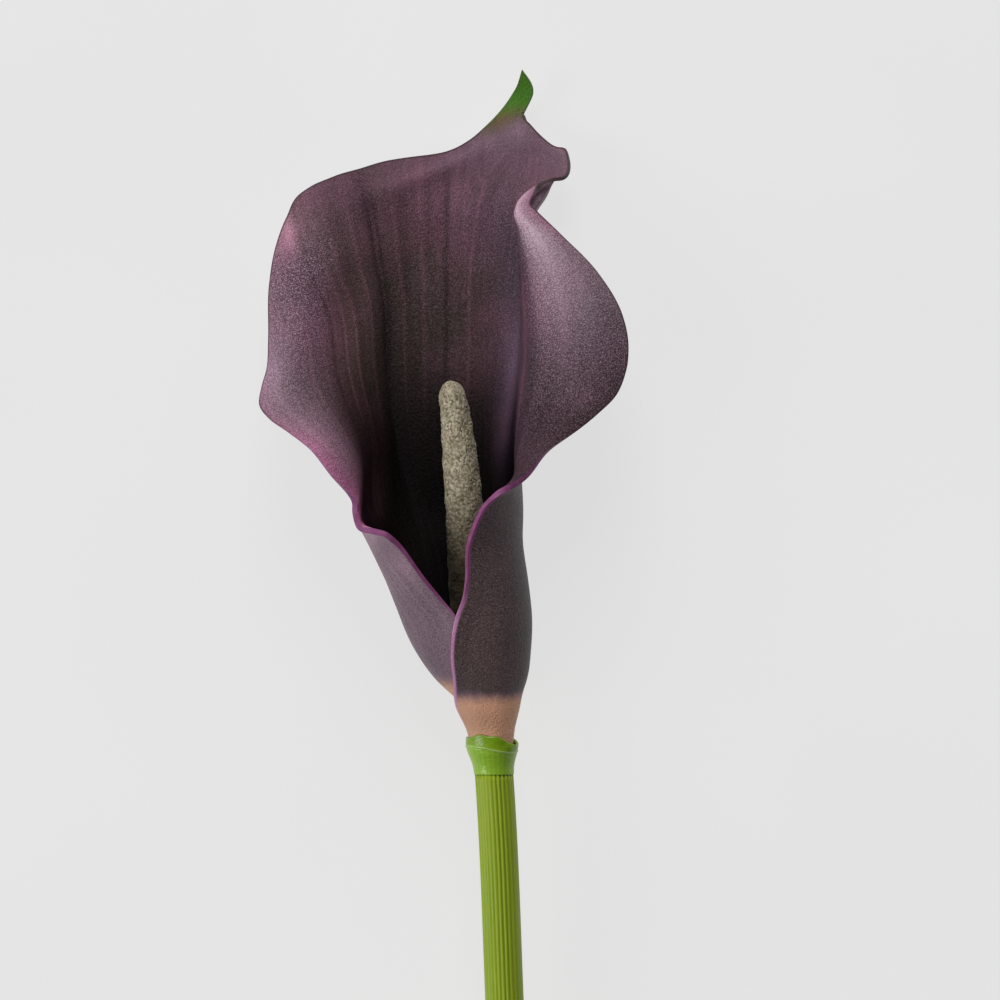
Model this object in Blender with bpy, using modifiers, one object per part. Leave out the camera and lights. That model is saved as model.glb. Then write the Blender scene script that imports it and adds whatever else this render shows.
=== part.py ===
"""Calla lily flower, cut, lying on its back with its throat open upwards.

Four solids: the spathe (one rolled sheet with two flaring wings and a hooked tip), the spadix
(the grainy finger in its throat), the ribbed stem, and the glossy collar wrapped round the joint.

Frame: +Y runs from the cut end of the stem to the tip, +X is the flower's right as one looks
down into the throat, +Z is up, and the flower rests on z = 0. Sizes below are in millimetres,
with x = 0, y = 0 at the middle of the collar's top edge; metres() turns them into metres from the
middle of the whole flower's footprint.
"""
import math

import bmesh
import bpy
import numpy as np
from mathutils import Vector

# ---- driving dimensions (mm) ----
MM = 0.001
FOOTPRINT_MIDDLE = (-9.8, -55.0)

SHEET = 1.15
SHEET_AT_BASE = 0.75
SHEET_AT_EDGE = 0.7
EDGE_BAND = 0.16

STEM_RADIUS = 3.85
STEM_END_Y = -244.0
STEM_RIBS = 28
STEM_RIB_DEPTH = 0.2
STEM_UNDER_WRAP = 3.25
PEG_RADIUS = 1.7
PEG_TOP_Y = 11.0

COLLAR_LOW_Y = -6.8
COLLAR_HIGH_Y = 0.4

SPADIX_LENGTH = 60.0
SPADIX_RADIUS = 4.1
SPADIX_GRAIN = 0.22

# The rolled funnel: height, middle x, middle z, radius, left end angle, right end angle.
# Angles are in degrees from the back, positive to the right; past 180 a side laps the front.
FUNNEL = (
    (-1.8, -0.1, 13.25, 4.3, -122, 285),
    (1.5, -0.25, 13.3, 4.75, -136, 272),
    (7.0, -1.15, 13.55, 6.85, -156, 246),
    (12.0, -2.7, 14.1, 9.7, -170, 212),
    (18.0, -4.3, 14.8, 12.1, -173, 199),
    (24.5, -5.5, 15.4, 13.5, -170, 187),
    (28.0, -6.2, 15.8, 13.9, -158, 178),
    (32.0, -7.25, 16.2, 14.45, -147, 171),
    (39.0, -9.3, 16.8, 15.55, -136, 162),
)
# Where it laps itself: the gap between the layers as a share of the radius, the angle (radians)
# over which the left end steps in, and how far ahead of the right end's edge it starts.
LAP_GAP = 0.135
LAP_RAMP = 0.9
LAP_LEAD = 0.6

# Guide lines of the open sheet above the funnel, from the left margin round the back to the
# right margin. The first number is the height at which that ring crosses the midrib, the rest
# is the guide's own point (x, y, z). Past the last one the inner lines run evenly into the tip.
LEFT_MARGIN = (
    (41, -20.2, 40.35, 27.3), (42, -20.9, 40.85, 27.4), (43, -22.0, 41.15, 27.2),
    (44.5, -23.6, 41.5, 26.8), (47, -25.7, 41.9, 25.6), (49.5, -26.5, 43.1, 24.8),
    (52, -27.0, 45.1, 24.4), (55, -27.2, 47.3, 24.6), (60, -31.5, 52.3, 26.0),
    (65, -35.9, 57.7, 25.4), (69, -40.2, 60.9, 23.6), (73, -43.9, 63.6, 21.2),
    (76, -45.9, 66.3, 19.4), (79, -45.5, 69.9, 17.6), (82.5, -44.5, 73.8, 16.2),
    (87, -44.3, 79.6, 14.6), (95, -44.2, 90.8, 11.0), (103, -41.2, 104.0, 8.0),
    (106.5, -38.6, 108.8, 7.1), (109, -33.5, 111.7, 6.6), (113, -22.0, 115.5, 5.0),
    (118, -8.9, 117.8, 3.7), (121, -4.6, 120.0, 3.4), (124, -1.3, 122.8, 3.3),
    (128.5, 2.7, 127.2, 3.6), (130.5, 4.2, 129.4, 4.2), (132, 5.1, 131.1, 5.0),
    (134, 6.0, 134.0, 6.2),
)
LEFT_RIM = (
    (46, -26.3, 43.0, 21.5), (52, -26.2, 45.6, 22.6), (60, -27.6, 53.5, 25.0),
    (69, -34.5, 61.5, 25.5), (78, -41.0, 69.0, 22.5), (87, -40.5, 80.0, 19.5),
    (95, -40.0, 91.5, 15.5), (103, -36.5, 102.5, 11.2), (109, -30.0, 108.5, 7.6),
    (113, -19.5, 112.5, 5.2), (118, -7.0, 117.0, 3.8),
)
LEFT_WING = (
    (46, -26.5, 44.0, 15.5), (60, -26.8, 56.0, 16.0), (78, -33.0, 73.0, 16.5),
    (95, -33.0, 93.0, 12.6), (109, -25.0, 108.0, 6.6), (118, -5.0, 117.0, 3.7),
)
LEFT_WALL = (
    (46, -23.5, 45.0, 6.5), (60, -24.5, 58.5, 6.5), (78, -28.0, 76.5, 8.0),
    (95, -27.0, 95.5, 7.2), (109, -19.5, 108.5, 4.9), (118, -3.0, 117.0, 3.5),
)
BACK_LEFT = (
    (46, -16.0, 46.0, 0.8), (78, -20.0, 79.0, 0.2), (95, -19.0, 97.0, 1.4),
    (109, -14.0, 109.0, 3.2), (118, -1.0, 117.0, 3.3),
)
MIDRIB = (
    (46, -8.0, 46.0, -0.6), (78, -10.0, 79.5, -1.8), (95, -9.5, 97.0, -0.4),
    (109, -6.0, 109.0, 2.0), (118, 1.0, 117.0, 3.2),
)
BACK_RIGHT = (
    (46, 0.0, 46.0, 2.8), (78, -0.5, 79.0, 0.6), (95, 0.0, 96.5, 1.1),
    (109, 2.0, 109.5, 2.6), (118, 5.5, 117.0, 3.5),
)
RIGHT_WALL = (
    (46, 5.4, 45.5, 10.0), (60, 4.9, 59.0, 8.0), (78, 8.5, 77.5, 4.8), (95, 10.0, 95.5, 4.4),
    (109, 10.6, 106.2, 7.4), (113, 12.5, 109.6, 6.9), (118, 12.0, 115.8, 5.0),
)
RIGHT_CREST = (
    (46, 6.2, 45.0, 19.0), (60, 4.8, 57.5, 17.0), (69, 3.8, 66.0, 17.2), (78, 3.2, 76.0, 16.2),
    (95, 3.4, 94.5, 13.5), (109, 6.8, 105.0, 10.8), (113, 9.2, 108.2, 10.0),
    (118, 13.6, 114.6, 6.7),
)
RIGHT_WING = (
    (46, 3.4, 44.0, 28.0), (60, 6.2, 56.0, 24.2), (69, 10.0, 63.5, 26.6), (78, 13.6, 74.0, 27.6),
    (87, 13.2, 84.0, 26.4), (95, 10.4, 93.2, 22.4), (103, 6.4, 101.0, 18.0),
    (109, 3.3, 105.4, 14.8), (113, 5.3, 108.6, 12.8), (118, 14.0, 113.0, 8.2),
)
RIGHT_MARGIN = (
    (44, -2.6, 44.6, 32.0), (52, 0.8, 48.6, 31.0), (60, 6.9, 52.4, 28.6),
    (65, 11.0, 57.2, 26.8), (69, 15.9, 60.6, 25.4), (73, 20.9, 64.7, 23.6),
    (76, 24.5, 68.4, 22.2), (79, 26.4, 73.1, 20.8), (82, 26.9, 77.4, 19.4),
    (87, 25.9, 83.8, 16.8), (95, 20.8, 92.9, 13.6), (103, 13.5, 100.5, 12.6),
    (109, 8.6, 105.4, 13.2), (111.5, 7.6, 106.6, 13.1), (113.5, 8.4, 108.4, 12.6),
    (115.5, 9.8, 110.7, 11.6), (117, 12.1, 111.6, 10.5), (118.3, 14.3, 111.9, 9.8),
    (119.3, 15.3, 112.9, 9.0), (120.2, 15.6, 114.7, 8.0), (121.1, 15.3, 116.8, 6.9),
    (121.8, 14.8, 118.1, 6.3), (122.6, 13.4, 118.3, 5.6), (123.8, 11.8, 119.1, 5.1),
    (125, 9.6, 121.1, 4.6), (126.4, 7.7, 123.2, 4.2), (127.6, 6.3, 124.7, 4.0),
    (129.2, 7.0, 126.4, 4.2), (131, 8.3, 129.4, 4.8), (132.5, 7.8, 131.5, 5.4),
    (134, 6.0, 134.0, 6.2),
)
GUIDES = (
    LEFT_MARGIN, LEFT_RIM, LEFT_WING, LEFT_WALL, BACK_LEFT, MIDRIB,
    BACK_RIGHT, RIGHT_WALL, RIGHT_CREST, RIGHT_WING, RIGHT_MARGIN,
)
TIP_HEIGHTS = (124.0, 126.5, 129.0, 131.5, 134.0)
SHEET_FOOT = -1.8
SHEET_TOP = 134.0

# The back is pressed flat where it lies: height of the sheet's middle there, and the blend.
FLAT = 0.775
FLAT_BLEND = 0.9

# With the stem's cut end, the flower lies on two low points of that flat back, one to each side
# of its weight: each one's place (x, y) and drop below the flat, and how wide they spread.
LOW_POINTS = ((-15.7, 68.65, 0.20), (-2.92, 64.42, 0.22))
LOW_SPREAD = 3.0

# Soft lengthwise folds of the open sheet: place across (0 left, 1 right), width, depth.
FOLDS = (
    (0.10, 0.022, 0.25), (0.17, 0.024, -0.25), (0.25, 0.022, 0.35), (0.305, 0.018, 0.20),
    (0.355, 0.020, -0.55), (0.40, 0.020, 0.40), (0.455, 0.018, 0.25), (0.51, 0.022, -0.22),
    (0.57, 0.024, 0.20), (0.84, 0.016, -0.25), (0.885, 0.014, 0.28), (0.925, 0.014, 0.22),
)
# Past FAN_FROM the folds fan straight out to the top margin: the fan's middle line, and how far
# below that height its lines would meet.
FAN_X = -10.1
FAN_REACH = 93.0
FAN_FROM = 80.0


# ==== the sheet of the spathe ====
def through(keys, values, at):
    """A smooth line through the values at their keys, read at the given places."""
    keys = np.asarray(keys, float)
    values = np.asarray(values, float)
    slopes = np.gradient(values, keys, axis=0)
    k = np.clip(np.searchsorted(keys, at, side="right") - 1, 0, len(keys) - 2)
    span = (keys[k + 1] - keys[k])[:, None]
    t = (np.asarray(at)[:, None] - keys[k][:, None]) / span
    t2, t3 = t * t, t * t * t
    start = (2 * t3 - 3 * t2 + 1) * values[k] + (t3 - 2 * t2 + t) * span * slopes[k]
    end = (3 * t2 - 2 * t3) * values[k + 1] + (t3 - t2) * span * slopes[k + 1]
    return start + end


def ease(low, high, x):
    """0 below low, 1 above high, and a smooth step between."""
    t = np.clip((np.asarray(x, float) - low) / (high - low), 0, 1)
    return t * t * (3 - 2 * t)


def sheet_thickness(height):
    return SHEET_AT_BASE + (SHEET - SHEET_AT_BASE) * ease(1.0, 14.0, height)


def funnel_row(height, middle_x, middle_z, radius, left, right):
    """The guide points of one rolled ring; its left end tucks in under its right end."""
    count = len(GUIDES)
    angles = np.radians(np.linspace(left, right, count))
    swell = np.full(count, 3 / (2 + math.cos(angles[1] - angles[0])))
    swell[[0, -1]] = 1
    thick = float(sheet_thickness(height))
    lap = math.radians(right - 360) + LAP_RAMP + LAP_LEAD
    tuck = np.clip((lap - angles) / LAP_RAMP, 0, 1) * (thick + LAP_GAP * radius)
    reach = (radius - thick / 2 - tuck) * swell
    x = middle_x + reach * np.sin(angles)
    z = middle_z - reach * np.cos(angles)
    return np.stack([x, np.full(count, height), z], axis=1)


def guide_line(index):
    """One guide from the rolled foot upwards: its keys and its points."""
    foot = [funnel_row(*row)[index] for row in FUNNEL]
    keys = [row[0] for row in FUNNEL] + [point[0] for point in GUIDES[index]]
    return keys, np.array(foot + [point[1:] for point in GUIDES[index]])


def guide_points(heights):
    """The guides' points on the rings at these heights."""
    last = len(GUIDES) - 1
    left_keys, left = guide_line(0)
    right_keys, right = guide_line(last)
    left_tip = through(left_keys, left, TIP_HEIGHTS)
    right_tip = through(right_keys, right, TIP_HEIGHTS)
    lines = [through(left_keys, left, heights)]
    for index in range(1, last):
        keys, points = guide_line(index)
        share = index / last
        tip = (1 - share) * left_tip + share * right_tip
        lines.append(through(keys + list(TIP_HEIGHTS), np.vstack([points, tip]), heights))
    lines.append(through(right_keys, right, heights))
    return np.stack(lines, axis=1)


def spline_weights(count, at):
    """Weights of a clamped cubic B-spline with this many control points, at 0 to 1."""
    degree = 3
    knots = np.concatenate([np.zeros(degree), np.linspace(0, 1, count - degree + 1), np.ones(degree)])
    at = np.clip(np.asarray(at, float), 0, 1 - 1e-9)[:, None]
    weights = ((at >= knots[:-1]) & (at < knots[1:])).astype(float)
    for k in range(1, degree + 1):
        rise = knots[k:-1] - knots[:-k - 1]
        fall = knots[k + 1:] - knots[1:-k]
        up = np.where(rise > 0, (at - knots[:-k - 1]) / np.where(rise > 0, rise, 1), 0)
        down = np.where(fall > 0, (knots[k + 1:] - at) / np.where(fall > 0, fall, 1), 0)
        weights = up * weights[:, :-1] + down * weights[:, 1:]
    return weights


def laid_flat(z):
    """Press the sheet flat where it would pass below the surface that it lies on."""
    above = z - FLAT
    blend = (above + FLAT_BLEND) ** 2 / (4 * FLAT_BLEND)
    return FLAT + np.where(above > FLAT_BLEND, above, np.where(above < -FLAT_BLEND, 0, blend))


def fold_lanes(across, heights, points):
    """The place across that the fold line through each point has where the fan starts."""
    start = spline_weights(len(GUIDES), across) @ guide_points([FAN_FROM])[0]
    spread = 1 + (points[..., 1] - start[:, 1]) / FAN_REACH
    back = across < 0.6
    lanes = np.interp(FAN_X + (points[..., 0] - FAN_X) / spread, start[back, 0], across[back])
    share = ease(FAN_FROM, FAN_FROM + 14, heights)[:, None] * (1 - ease(0.5, 0.62, across))
    return across + share * (lanes - across)


def fold_depth(lanes, heights):
    """How far the soft folds lift the sheet along its normal."""
    h = heights[:, None]
    depth = sum(d * np.exp(-(((lanes - place) / width) ** 2)) for place, width, d in FOLDS)
    return depth * ease(44, 66, h) * (1 - ease(106, 124, h))


def sheet_points(across, heights):
    """The middle of the spathe's sheet: a grid of points, rings by places across."""
    across = np.asarray(across, float)
    heights = np.asarray(heights, float)
    weights = spline_weights(len(GUIDES), across)
    points = np.einsum("ac,hcx->hax", weights, guide_points(heights))
    normals = np.cross(np.gradient(points, axis=1), np.gradient(points, axis=0))
    length = np.linalg.norm(normals, axis=2, keepdims=True)
    normals = normals / np.maximum(length, 1e-9)
    lift = fold_depth(fold_lanes(across, heights, points), heights)
    points += normals * lift[..., None]
    points[..., 2] = laid_flat(points[..., 2])
    for x, y, drop in LOW_POINTS:
        away = np.hypot(points[..., 0] - x, points[..., 1] - y)
        points[..., 2] -= drop * np.exp(-((away / LOW_SPREAD) ** 2))
    return points


def edge_thinning(across, heights):
    """Share of the full thickness: 1 in the funnel, less along the margins of the open sheet."""
    u = across[None, :]
    h = heights[:, None]
    near_edge = 1 - ease(0.0, EDGE_BAND, u) * (1 - ease(1 - EDGE_BAND, 1.0, u))
    high = ease(56, 84, h)
    at_tip = ease(116, 126, h)
    thin = 1 - SHEET_AT_EDGE / SHEET
    share = 1 - thin * np.maximum(near_edge * high, at_tip)
    return share * sheet_thickness(h) / SHEET


# ==== scene, materials and small helpers ====
def clear_scene():
    for old in list(bpy.data.objects):
        bpy.data.objects.remove(old, do_unlink=True)


def new_collection(name):
    collection = bpy.data.collections.new(name)
    bpy.context.scene.collection.children.link(collection)
    return collection


def material(name, colour, roughness, coat=0.0):
    made = bpy.data.materials.new(name)
    made.use_nodes = True
    shader = made.node_tree.nodes["Principled BSDF"]
    shader.inputs["Base Color"].default_value = (*colour, 1)
    shader.inputs["Roughness"].default_value = roughness
    shader.inputs["Metallic"].default_value = 0
    shader.inputs["Coat Weight"].default_value = coat
    return made


def metres(points):
    """Millimetre points of this flower's frame as metres from the footprint's middle."""
    shift = np.array([FOOTPRINT_MIDDLE[0], FOOTPRINT_MIDDLE[1], 0.0])
    return (np.asarray(points, float) - shift) * MM


def add_object(name, data, collection, finish=None):
    made = bpy.data.objects.new(name, data)
    collection.objects.link(made)
    if finish:
        data.materials.append(finish)
    return made


def applied_mesh(source, name):
    """The evaluated mesh of an object, which is then removed."""
    graph = bpy.context.evaluated_depsgraph_get()
    mesh = bpy.data.meshes.new_from_object(source.evaluated_get(graph))
    mesh.name = name
    bpy.data.objects.remove(source, do_unlink=True)
    return mesh


def turned_mesh(name, profile, sides, collection, closed=False):
    """A profile of (radius, height) points in mm, turned round Z with a Screw modifier."""
    count = len(profile)
    edges = [(i, i + 1) for i in range(count - 1)]
    if closed:
        edges.append((count - 1, 0))
    outline = bpy.data.meshes.new(name + " profile")
    outline.from_pydata([(r * MM, 0, h * MM) for r, h in profile], edges, [])
    source = add_object(name + " profile", outline, collection)
    screw = source.modifiers.new("Turn", "SCREW")
    screw.steps = sides
    screw.render_steps = sides
    screw.use_merge_vertices = True
    screw.merge_threshold = 0.00001
    return applied_mesh(source, name)


def aim(made, foot, top):
    """Stand a turned mesh on one point of the flower's frame, pointing at another."""
    start, end = metres(foot), metres(top)
    made.location = start.tolist()
    made.rotation_mode = "QUATERNION"
    made.rotation_quaternion = Vector((end - start).tolist()).to_track_quat("Z", "X")


# ==== spathe ====
SPATHE_ACROSS = 40
SPATHE_STRETCHES = ((SHEET_FOOT, 44.0, 12), (44.0, 108.0, 16), (108.0, 134.0, 14))
COARSER_AT = ((121.0, 2), (125.5, 4), (130.5, 8))


def spathe_heights():
    """Ring heights, closest together near the tip where the margins turn quickly."""
    rows = [np.linspace(low, high, count, endpoint=False) for low, high, count in SPATHE_STRETCHES]
    return np.concatenate(rows + [[SHEET_TOP]])


def narrow_to_tip(bm, grid, heights):
    """Join columns towards the tip, where the sheet grows too narrow for all of them."""
    targets = {}
    last = len(grid[0]) - 1
    for row, height in zip(grid, heights):
        step = max([1] + [s for start, s in COARSER_AT if height > start])
        if height == SHEET_TOP:
            step = last
        for column in range(last + 1):
            home = min(step * round(column / step), last)
            if home != column:
                targets[row[column]] = row[home]
    for column in range(1, last + 1):
        targets[grid[-1][column]] = grid[-1][0]
    bmesh.ops.weld_verts(bm, targetmap=targets)


def make_spathe(collection, finish):
    heights = spathe_heights()
    across = np.linspace(0, 1, SPATHE_ACROSS + 1)
    points = metres(sheet_points(across, heights))
    shares = edge_thinning(across, heights)
    bm = bmesh.new()
    bmesh.ops.create_grid(bm, x_segments=SPATHE_ACROSS, y_segments=len(heights) - 1, size=0.5)
    bm.verts.ensure_lookup_table()
    weight = bm.verts.layers.deform.verify()
    grid = [bm.verts[i * len(across):(i + 1) * len(across)] for i in range(len(heights))]
    for row, row_points, row_shares in zip(grid, points, shares):
        for vertex, point, share in zip(row, row_points, row_shares):
            vertex.co = point
            vertex[weight][0] = float(share)
    narrow_to_tip(bm, grid, heights)
    bmesh.ops.triangulate(bm, faces=bm.faces[:])
    mesh = bpy.data.meshes.new("spathe")
    bm.to_mesh(mesh)
    bm.free()
    spathe = add_object("spathe", mesh, collection, finish)
    spathe.vertex_groups.new(name="thickness")
    shell = spathe.modifiers.new("Thickness", "SOLIDIFY")
    shell.thickness = SHEET * MM
    shell.offset = 0
    shell.vertex_group = "thickness"
    mesh.shade_smooth()
    return spathe


# ==== spadix ====
SPADIX_FOOT = (-1.0, 11.4, 13.9)
SPADIX_TOP = (-7.7, 71.2, 19.0)
SPADIX_SIDES = 32
SPADIX_RINGS = 52
FLORETS_AROUND = 16


def spadix_radius(share):
    """Radius at a share of the length: a narrow foot, a long taper and a blunt round top."""
    places = (0, 0.10, 0.35, 0.75, 0.90, 1)
    body = np.interp(share, places, (0.76, 0.975, 1, 0.83, 0.695, 0.56))
    top = np.sqrt(np.clip(1 - ((share - 0.95) / 0.05).clip(0) ** 2, 0, 1))
    return SPADIX_RADIUS * body * top


def make_spadix(collection, finish, guides):
    shares = 1 - np.concatenate([[0, 0.004, 0.012, 0.024], np.linspace(0.04, 1, SPADIX_RINGS - 4)])
    profile = [(float(spadix_radius(s)), float(s * SPADIX_LENGTH)) for s in shares]
    mesh = turned_mesh("spadix", profile + [(0, 0)], SPADIX_SIDES, guides)
    row = SPADIX_LENGTH * MM * 0.96 / (SPADIX_RINGS - 5)
    for vertex in mesh.vertices:
        x, y, z = vertex.co
        radius = math.hypot(x, y)
        if radius < 0.5 * MM:
            continue
        grain = math.cos(FLORETS_AROUND * math.atan2(y, x)) * math.cos(math.pi * z / row)
        swell = 1 + SPADIX_GRAIN * MM * grain / radius
        vertex.co = (x * swell, y * swell, z)
    spadix = add_object("spadix", mesh, collection, finish)
    aim(spadix, SPADIX_FOOT, SPADIX_TOP)
    mesh.shade_smooth()
    return spadix


# ==== stem ====
# The stalk's middle line: y, x, z. It slopes down from the collar and lies on its cut end.
STEM_LINE = (
    (STEM_END_Y, 10.6, 3.95), (-205.0, 8.9, 5.0), (-165.0, 7.0, 6.5), (-110.0, 4.7, 8.8),
    (-55.0, 2.6, 11.1), (-9.0, 0.55, 13.0), (-3.4, 0.15, 13.2), (3.0, -0.35, 13.4), (11.0, -1.0, 13.8),
)
STEM_STATIONS = (STEM_END_Y, -224, -205, -185, -165, -140, -110, -80, -55, -30, -7.6)
# Above the last rib the stalk steps in under the wrap, and a peg goes on up to the spadix.
WRAPPED_FROM_Y = -7.2
WRAPPED_TO_Y = -3.0
PEG_FROM_Y = -2.6
RIB_POINTS = 3


def stem_point(y):
    keys = [p[0] for p in STEM_LINE]
    x, z = through(keys, [p[1:] for p in STEM_LINE], [y])[0]
    return (x, y, z)


def rib_section(guides):
    """The stem's cross-section: a circle with shallow round ribs, one rib straight down."""
    count = STEM_RIBS * RIB_POINTS
    section = bpy.data.curves.new("stem section", "CURVE")
    section.dimensions = "2D"
    line = section.splines.new("POLY")
    line.points.add(count - 1)
    for i, point in enumerate(line.points):
        angle = 2 * math.pi * i / count
        rib = 0.5 + 0.5 * math.cos(STEM_RIBS * angle)
        radius = (STEM_RADIUS - STEM_RIB_DEPTH * (1 - rib)) * MM
        point.co = (radius * math.cos(angle), radius * math.sin(angle), 0, 1)
    line.use_cyclic_u = True
    made = add_object("stem section", section, guides)
    made.hide_render = True
    made.display_type = "WIRE"
    return made


def make_stem(collection, finish, guides):
    wrap = STEM_UNDER_WRAP / STEM_RADIUS
    peg = PEG_RADIUS / STEM_RADIUS
    stations = [(y, 1.0) for y in STEM_STATIONS]
    stations += [(y, wrap) for y in (WRAPPED_FROM_Y, -5.0, WRAPPED_TO_Y)]
    stations += [(y, peg) for y in (PEG_FROM_Y, 3.0, PEG_TOP_Y)]
    path = bpy.data.curves.new("stem path", "CURVE")
    path.dimensions = "3D"
    path.bevel_mode = "OBJECT"
    path.bevel_object = rib_section(guides)
    path.use_fill_caps = True
    line = path.splines.new("POLY")
    line.points.add(len(stations) - 1)
    for point, (y, size) in zip(line.points, stations):
        point.co = (*metres(stem_point(y)), 1)
        point.radius = size
    source = add_object("stem path", path, guides)
    mesh = applied_mesh(source, "stem")
    bm = bmesh.new()
    bm.from_mesh(mesh)
    bmesh.ops.remove_doubles(bm, verts=bm.verts[:], dist=0.00001)
    bmesh.ops.recalc_face_normals(bm, faces=bm.faces[:])
    bm.to_mesh(mesh)
    bm.free()
    mesh.materials.clear()
    stem = add_object("stem", mesh, collection, finish)
    mesh.shade_smooth()
    mesh.set_sharp_from_angle(angle=math.radians(40))
    return stem


# ==== collar ====
COLLAR_SIDES = 40
COLLAR_PROFILE = (
    (4.98, 0.38), (5.10, 0.46), (5.21, 0.25), (5.22, -0.8), (5.16, -1.8), (4.98, -2.7),
    (4.72, -3.5), (4.42, -4.4), (4.16, -5.4), (4.03, -6.5), (3.90, -6.8), (3.62, -6.7),
    (3.58, -2.9), (4.64, -2.45), (4.80, -0.9),
)
# The upper edge's waves: number round, height and turn; they fade out below this share of it.
COLLAR_WAVES = ((2, 0.32, 0.6), (5, 0.22, 1.9))
WAVES_FROM = 0.62


def make_collar(collection, finish, guides):
    foot = stem_point(COLLAR_LOW_Y)
    top = stem_point(COLLAR_HIGH_Y)
    profile = [(r, h - COLLAR_LOW_Y) for r, h in COLLAR_PROFILE]
    mesh = turned_mesh("collar", profile, COLLAR_SIDES, guides, closed=True)
    span = (COLLAR_HIGH_Y - COLLAR_LOW_Y) * MM
    for vertex in mesh.vertices:
        x, y, z = vertex.co
        angle = math.atan2(y, x)
        wave = sum(size * math.sin(count * angle + turn) for count, size, turn in COLLAR_WAVES)
        upper = max(0.0, z / span - WAVES_FROM) / (1 - WAVES_FROM)
        vertex.co.z = z + wave * upper * MM
    collar = add_object("collar", mesh, collection, finish)
    aim(collar, foot, top)
    mesh.shade_smooth()
    return collar


# ==== build ====
def build():
    clear_scene()
    flower = new_collection("calla lily flower")
    guides = new_collection("guides")
    make_spathe(flower, material("dark satin petal", (0.075, 0.040, 0.062), 0.42))
    make_spadix(flower, material("grainy florets", (0.24, 0.21, 0.155), 0.85), guides)
    make_stem(flower, material("ribbed green stalk", (0.18, 0.27, 0.025), 0.45), guides)
    make_collar(flower, material("glossy green wrap", (0.15, 0.27, 0.012), 0.25, 0.4), guides)


build()
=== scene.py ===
"""A cut calla lily lying on a pale table, looked at from straight above.

The flower's own measures are millimetres from the middle of the collar's top edge: +y runs up
to the tip of the bloom, +x to its right as one looks into the throat, and +z up off the table.
"""

import math

import bmesh
import bpy
import numpy as np
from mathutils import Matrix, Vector, kdtree


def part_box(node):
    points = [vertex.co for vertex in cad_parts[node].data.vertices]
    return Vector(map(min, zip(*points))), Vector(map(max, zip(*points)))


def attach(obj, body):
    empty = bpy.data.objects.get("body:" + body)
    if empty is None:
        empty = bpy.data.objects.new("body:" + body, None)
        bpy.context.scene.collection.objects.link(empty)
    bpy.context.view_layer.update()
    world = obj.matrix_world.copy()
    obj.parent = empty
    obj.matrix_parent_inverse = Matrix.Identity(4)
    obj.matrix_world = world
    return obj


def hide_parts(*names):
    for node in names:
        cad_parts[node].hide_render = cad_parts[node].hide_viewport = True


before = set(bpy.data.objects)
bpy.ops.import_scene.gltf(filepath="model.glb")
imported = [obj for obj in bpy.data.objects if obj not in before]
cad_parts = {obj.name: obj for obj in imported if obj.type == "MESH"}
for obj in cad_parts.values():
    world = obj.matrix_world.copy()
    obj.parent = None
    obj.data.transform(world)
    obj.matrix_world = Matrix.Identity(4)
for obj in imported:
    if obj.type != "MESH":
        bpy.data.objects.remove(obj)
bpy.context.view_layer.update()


# ---- where the flower lies ----
# The spathe's box gives the place: its right side and its tip are this far from the middle of
# the collar's top edge, which all the sizes below are measured from.
MM = 0.001
BLOOM_RIGHT = 26.90
BLOOM_TIP = 134.13
spathe_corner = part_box("spathe")[1]
FLOWER_ZERO = Vector((spathe_corner.x - BLOOM_RIGHT * MM, spathe_corner.y - BLOOM_TIP * MM, 0))


def on_table(points):
    """Millimetre points of the flower as metres in the frame."""
    return np.asarray(points, float) * MM + np.array(FLOWER_ZERO)


# ---- table, light and camera ----
# A matt pale table top that is lit from below like a light table, one soft box beyond the tip
# and one to the left, a faint room, and a long lens that looks straight down at the bloom.
TABLE_SIZE = 6
TABLE_BELOW = 0.0002
TABLE_SHADES = (0.11, 0.11, 0.11), (0.13, 0.13, 0.13)
TABLE_GLOW = 0.70
ROOM_LIGHT = 0.07
SOFT_BOX_SIZE = 0.8
FAR_BOX = (-0.05, 1.15, 0.90)
FAR_BOX_WATTS = 13
LEFT_BOX = (-1.20, -0.25, 0.75)
LEFT_BOX_WATTS = 10
VIEW_MIDDLE = (1.6, 47.6, 10.0)
LENS = 180
SENSOR = 36
CAMERA_HEIGHT = 1.0
# The colour sockets of a Mix node, which also has number and vector sockets of the same names.
MIX_COLOUR_A, MIX_COLOUR_B, MIX_COLOUR_RESULT = 6, 7, 2


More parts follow.
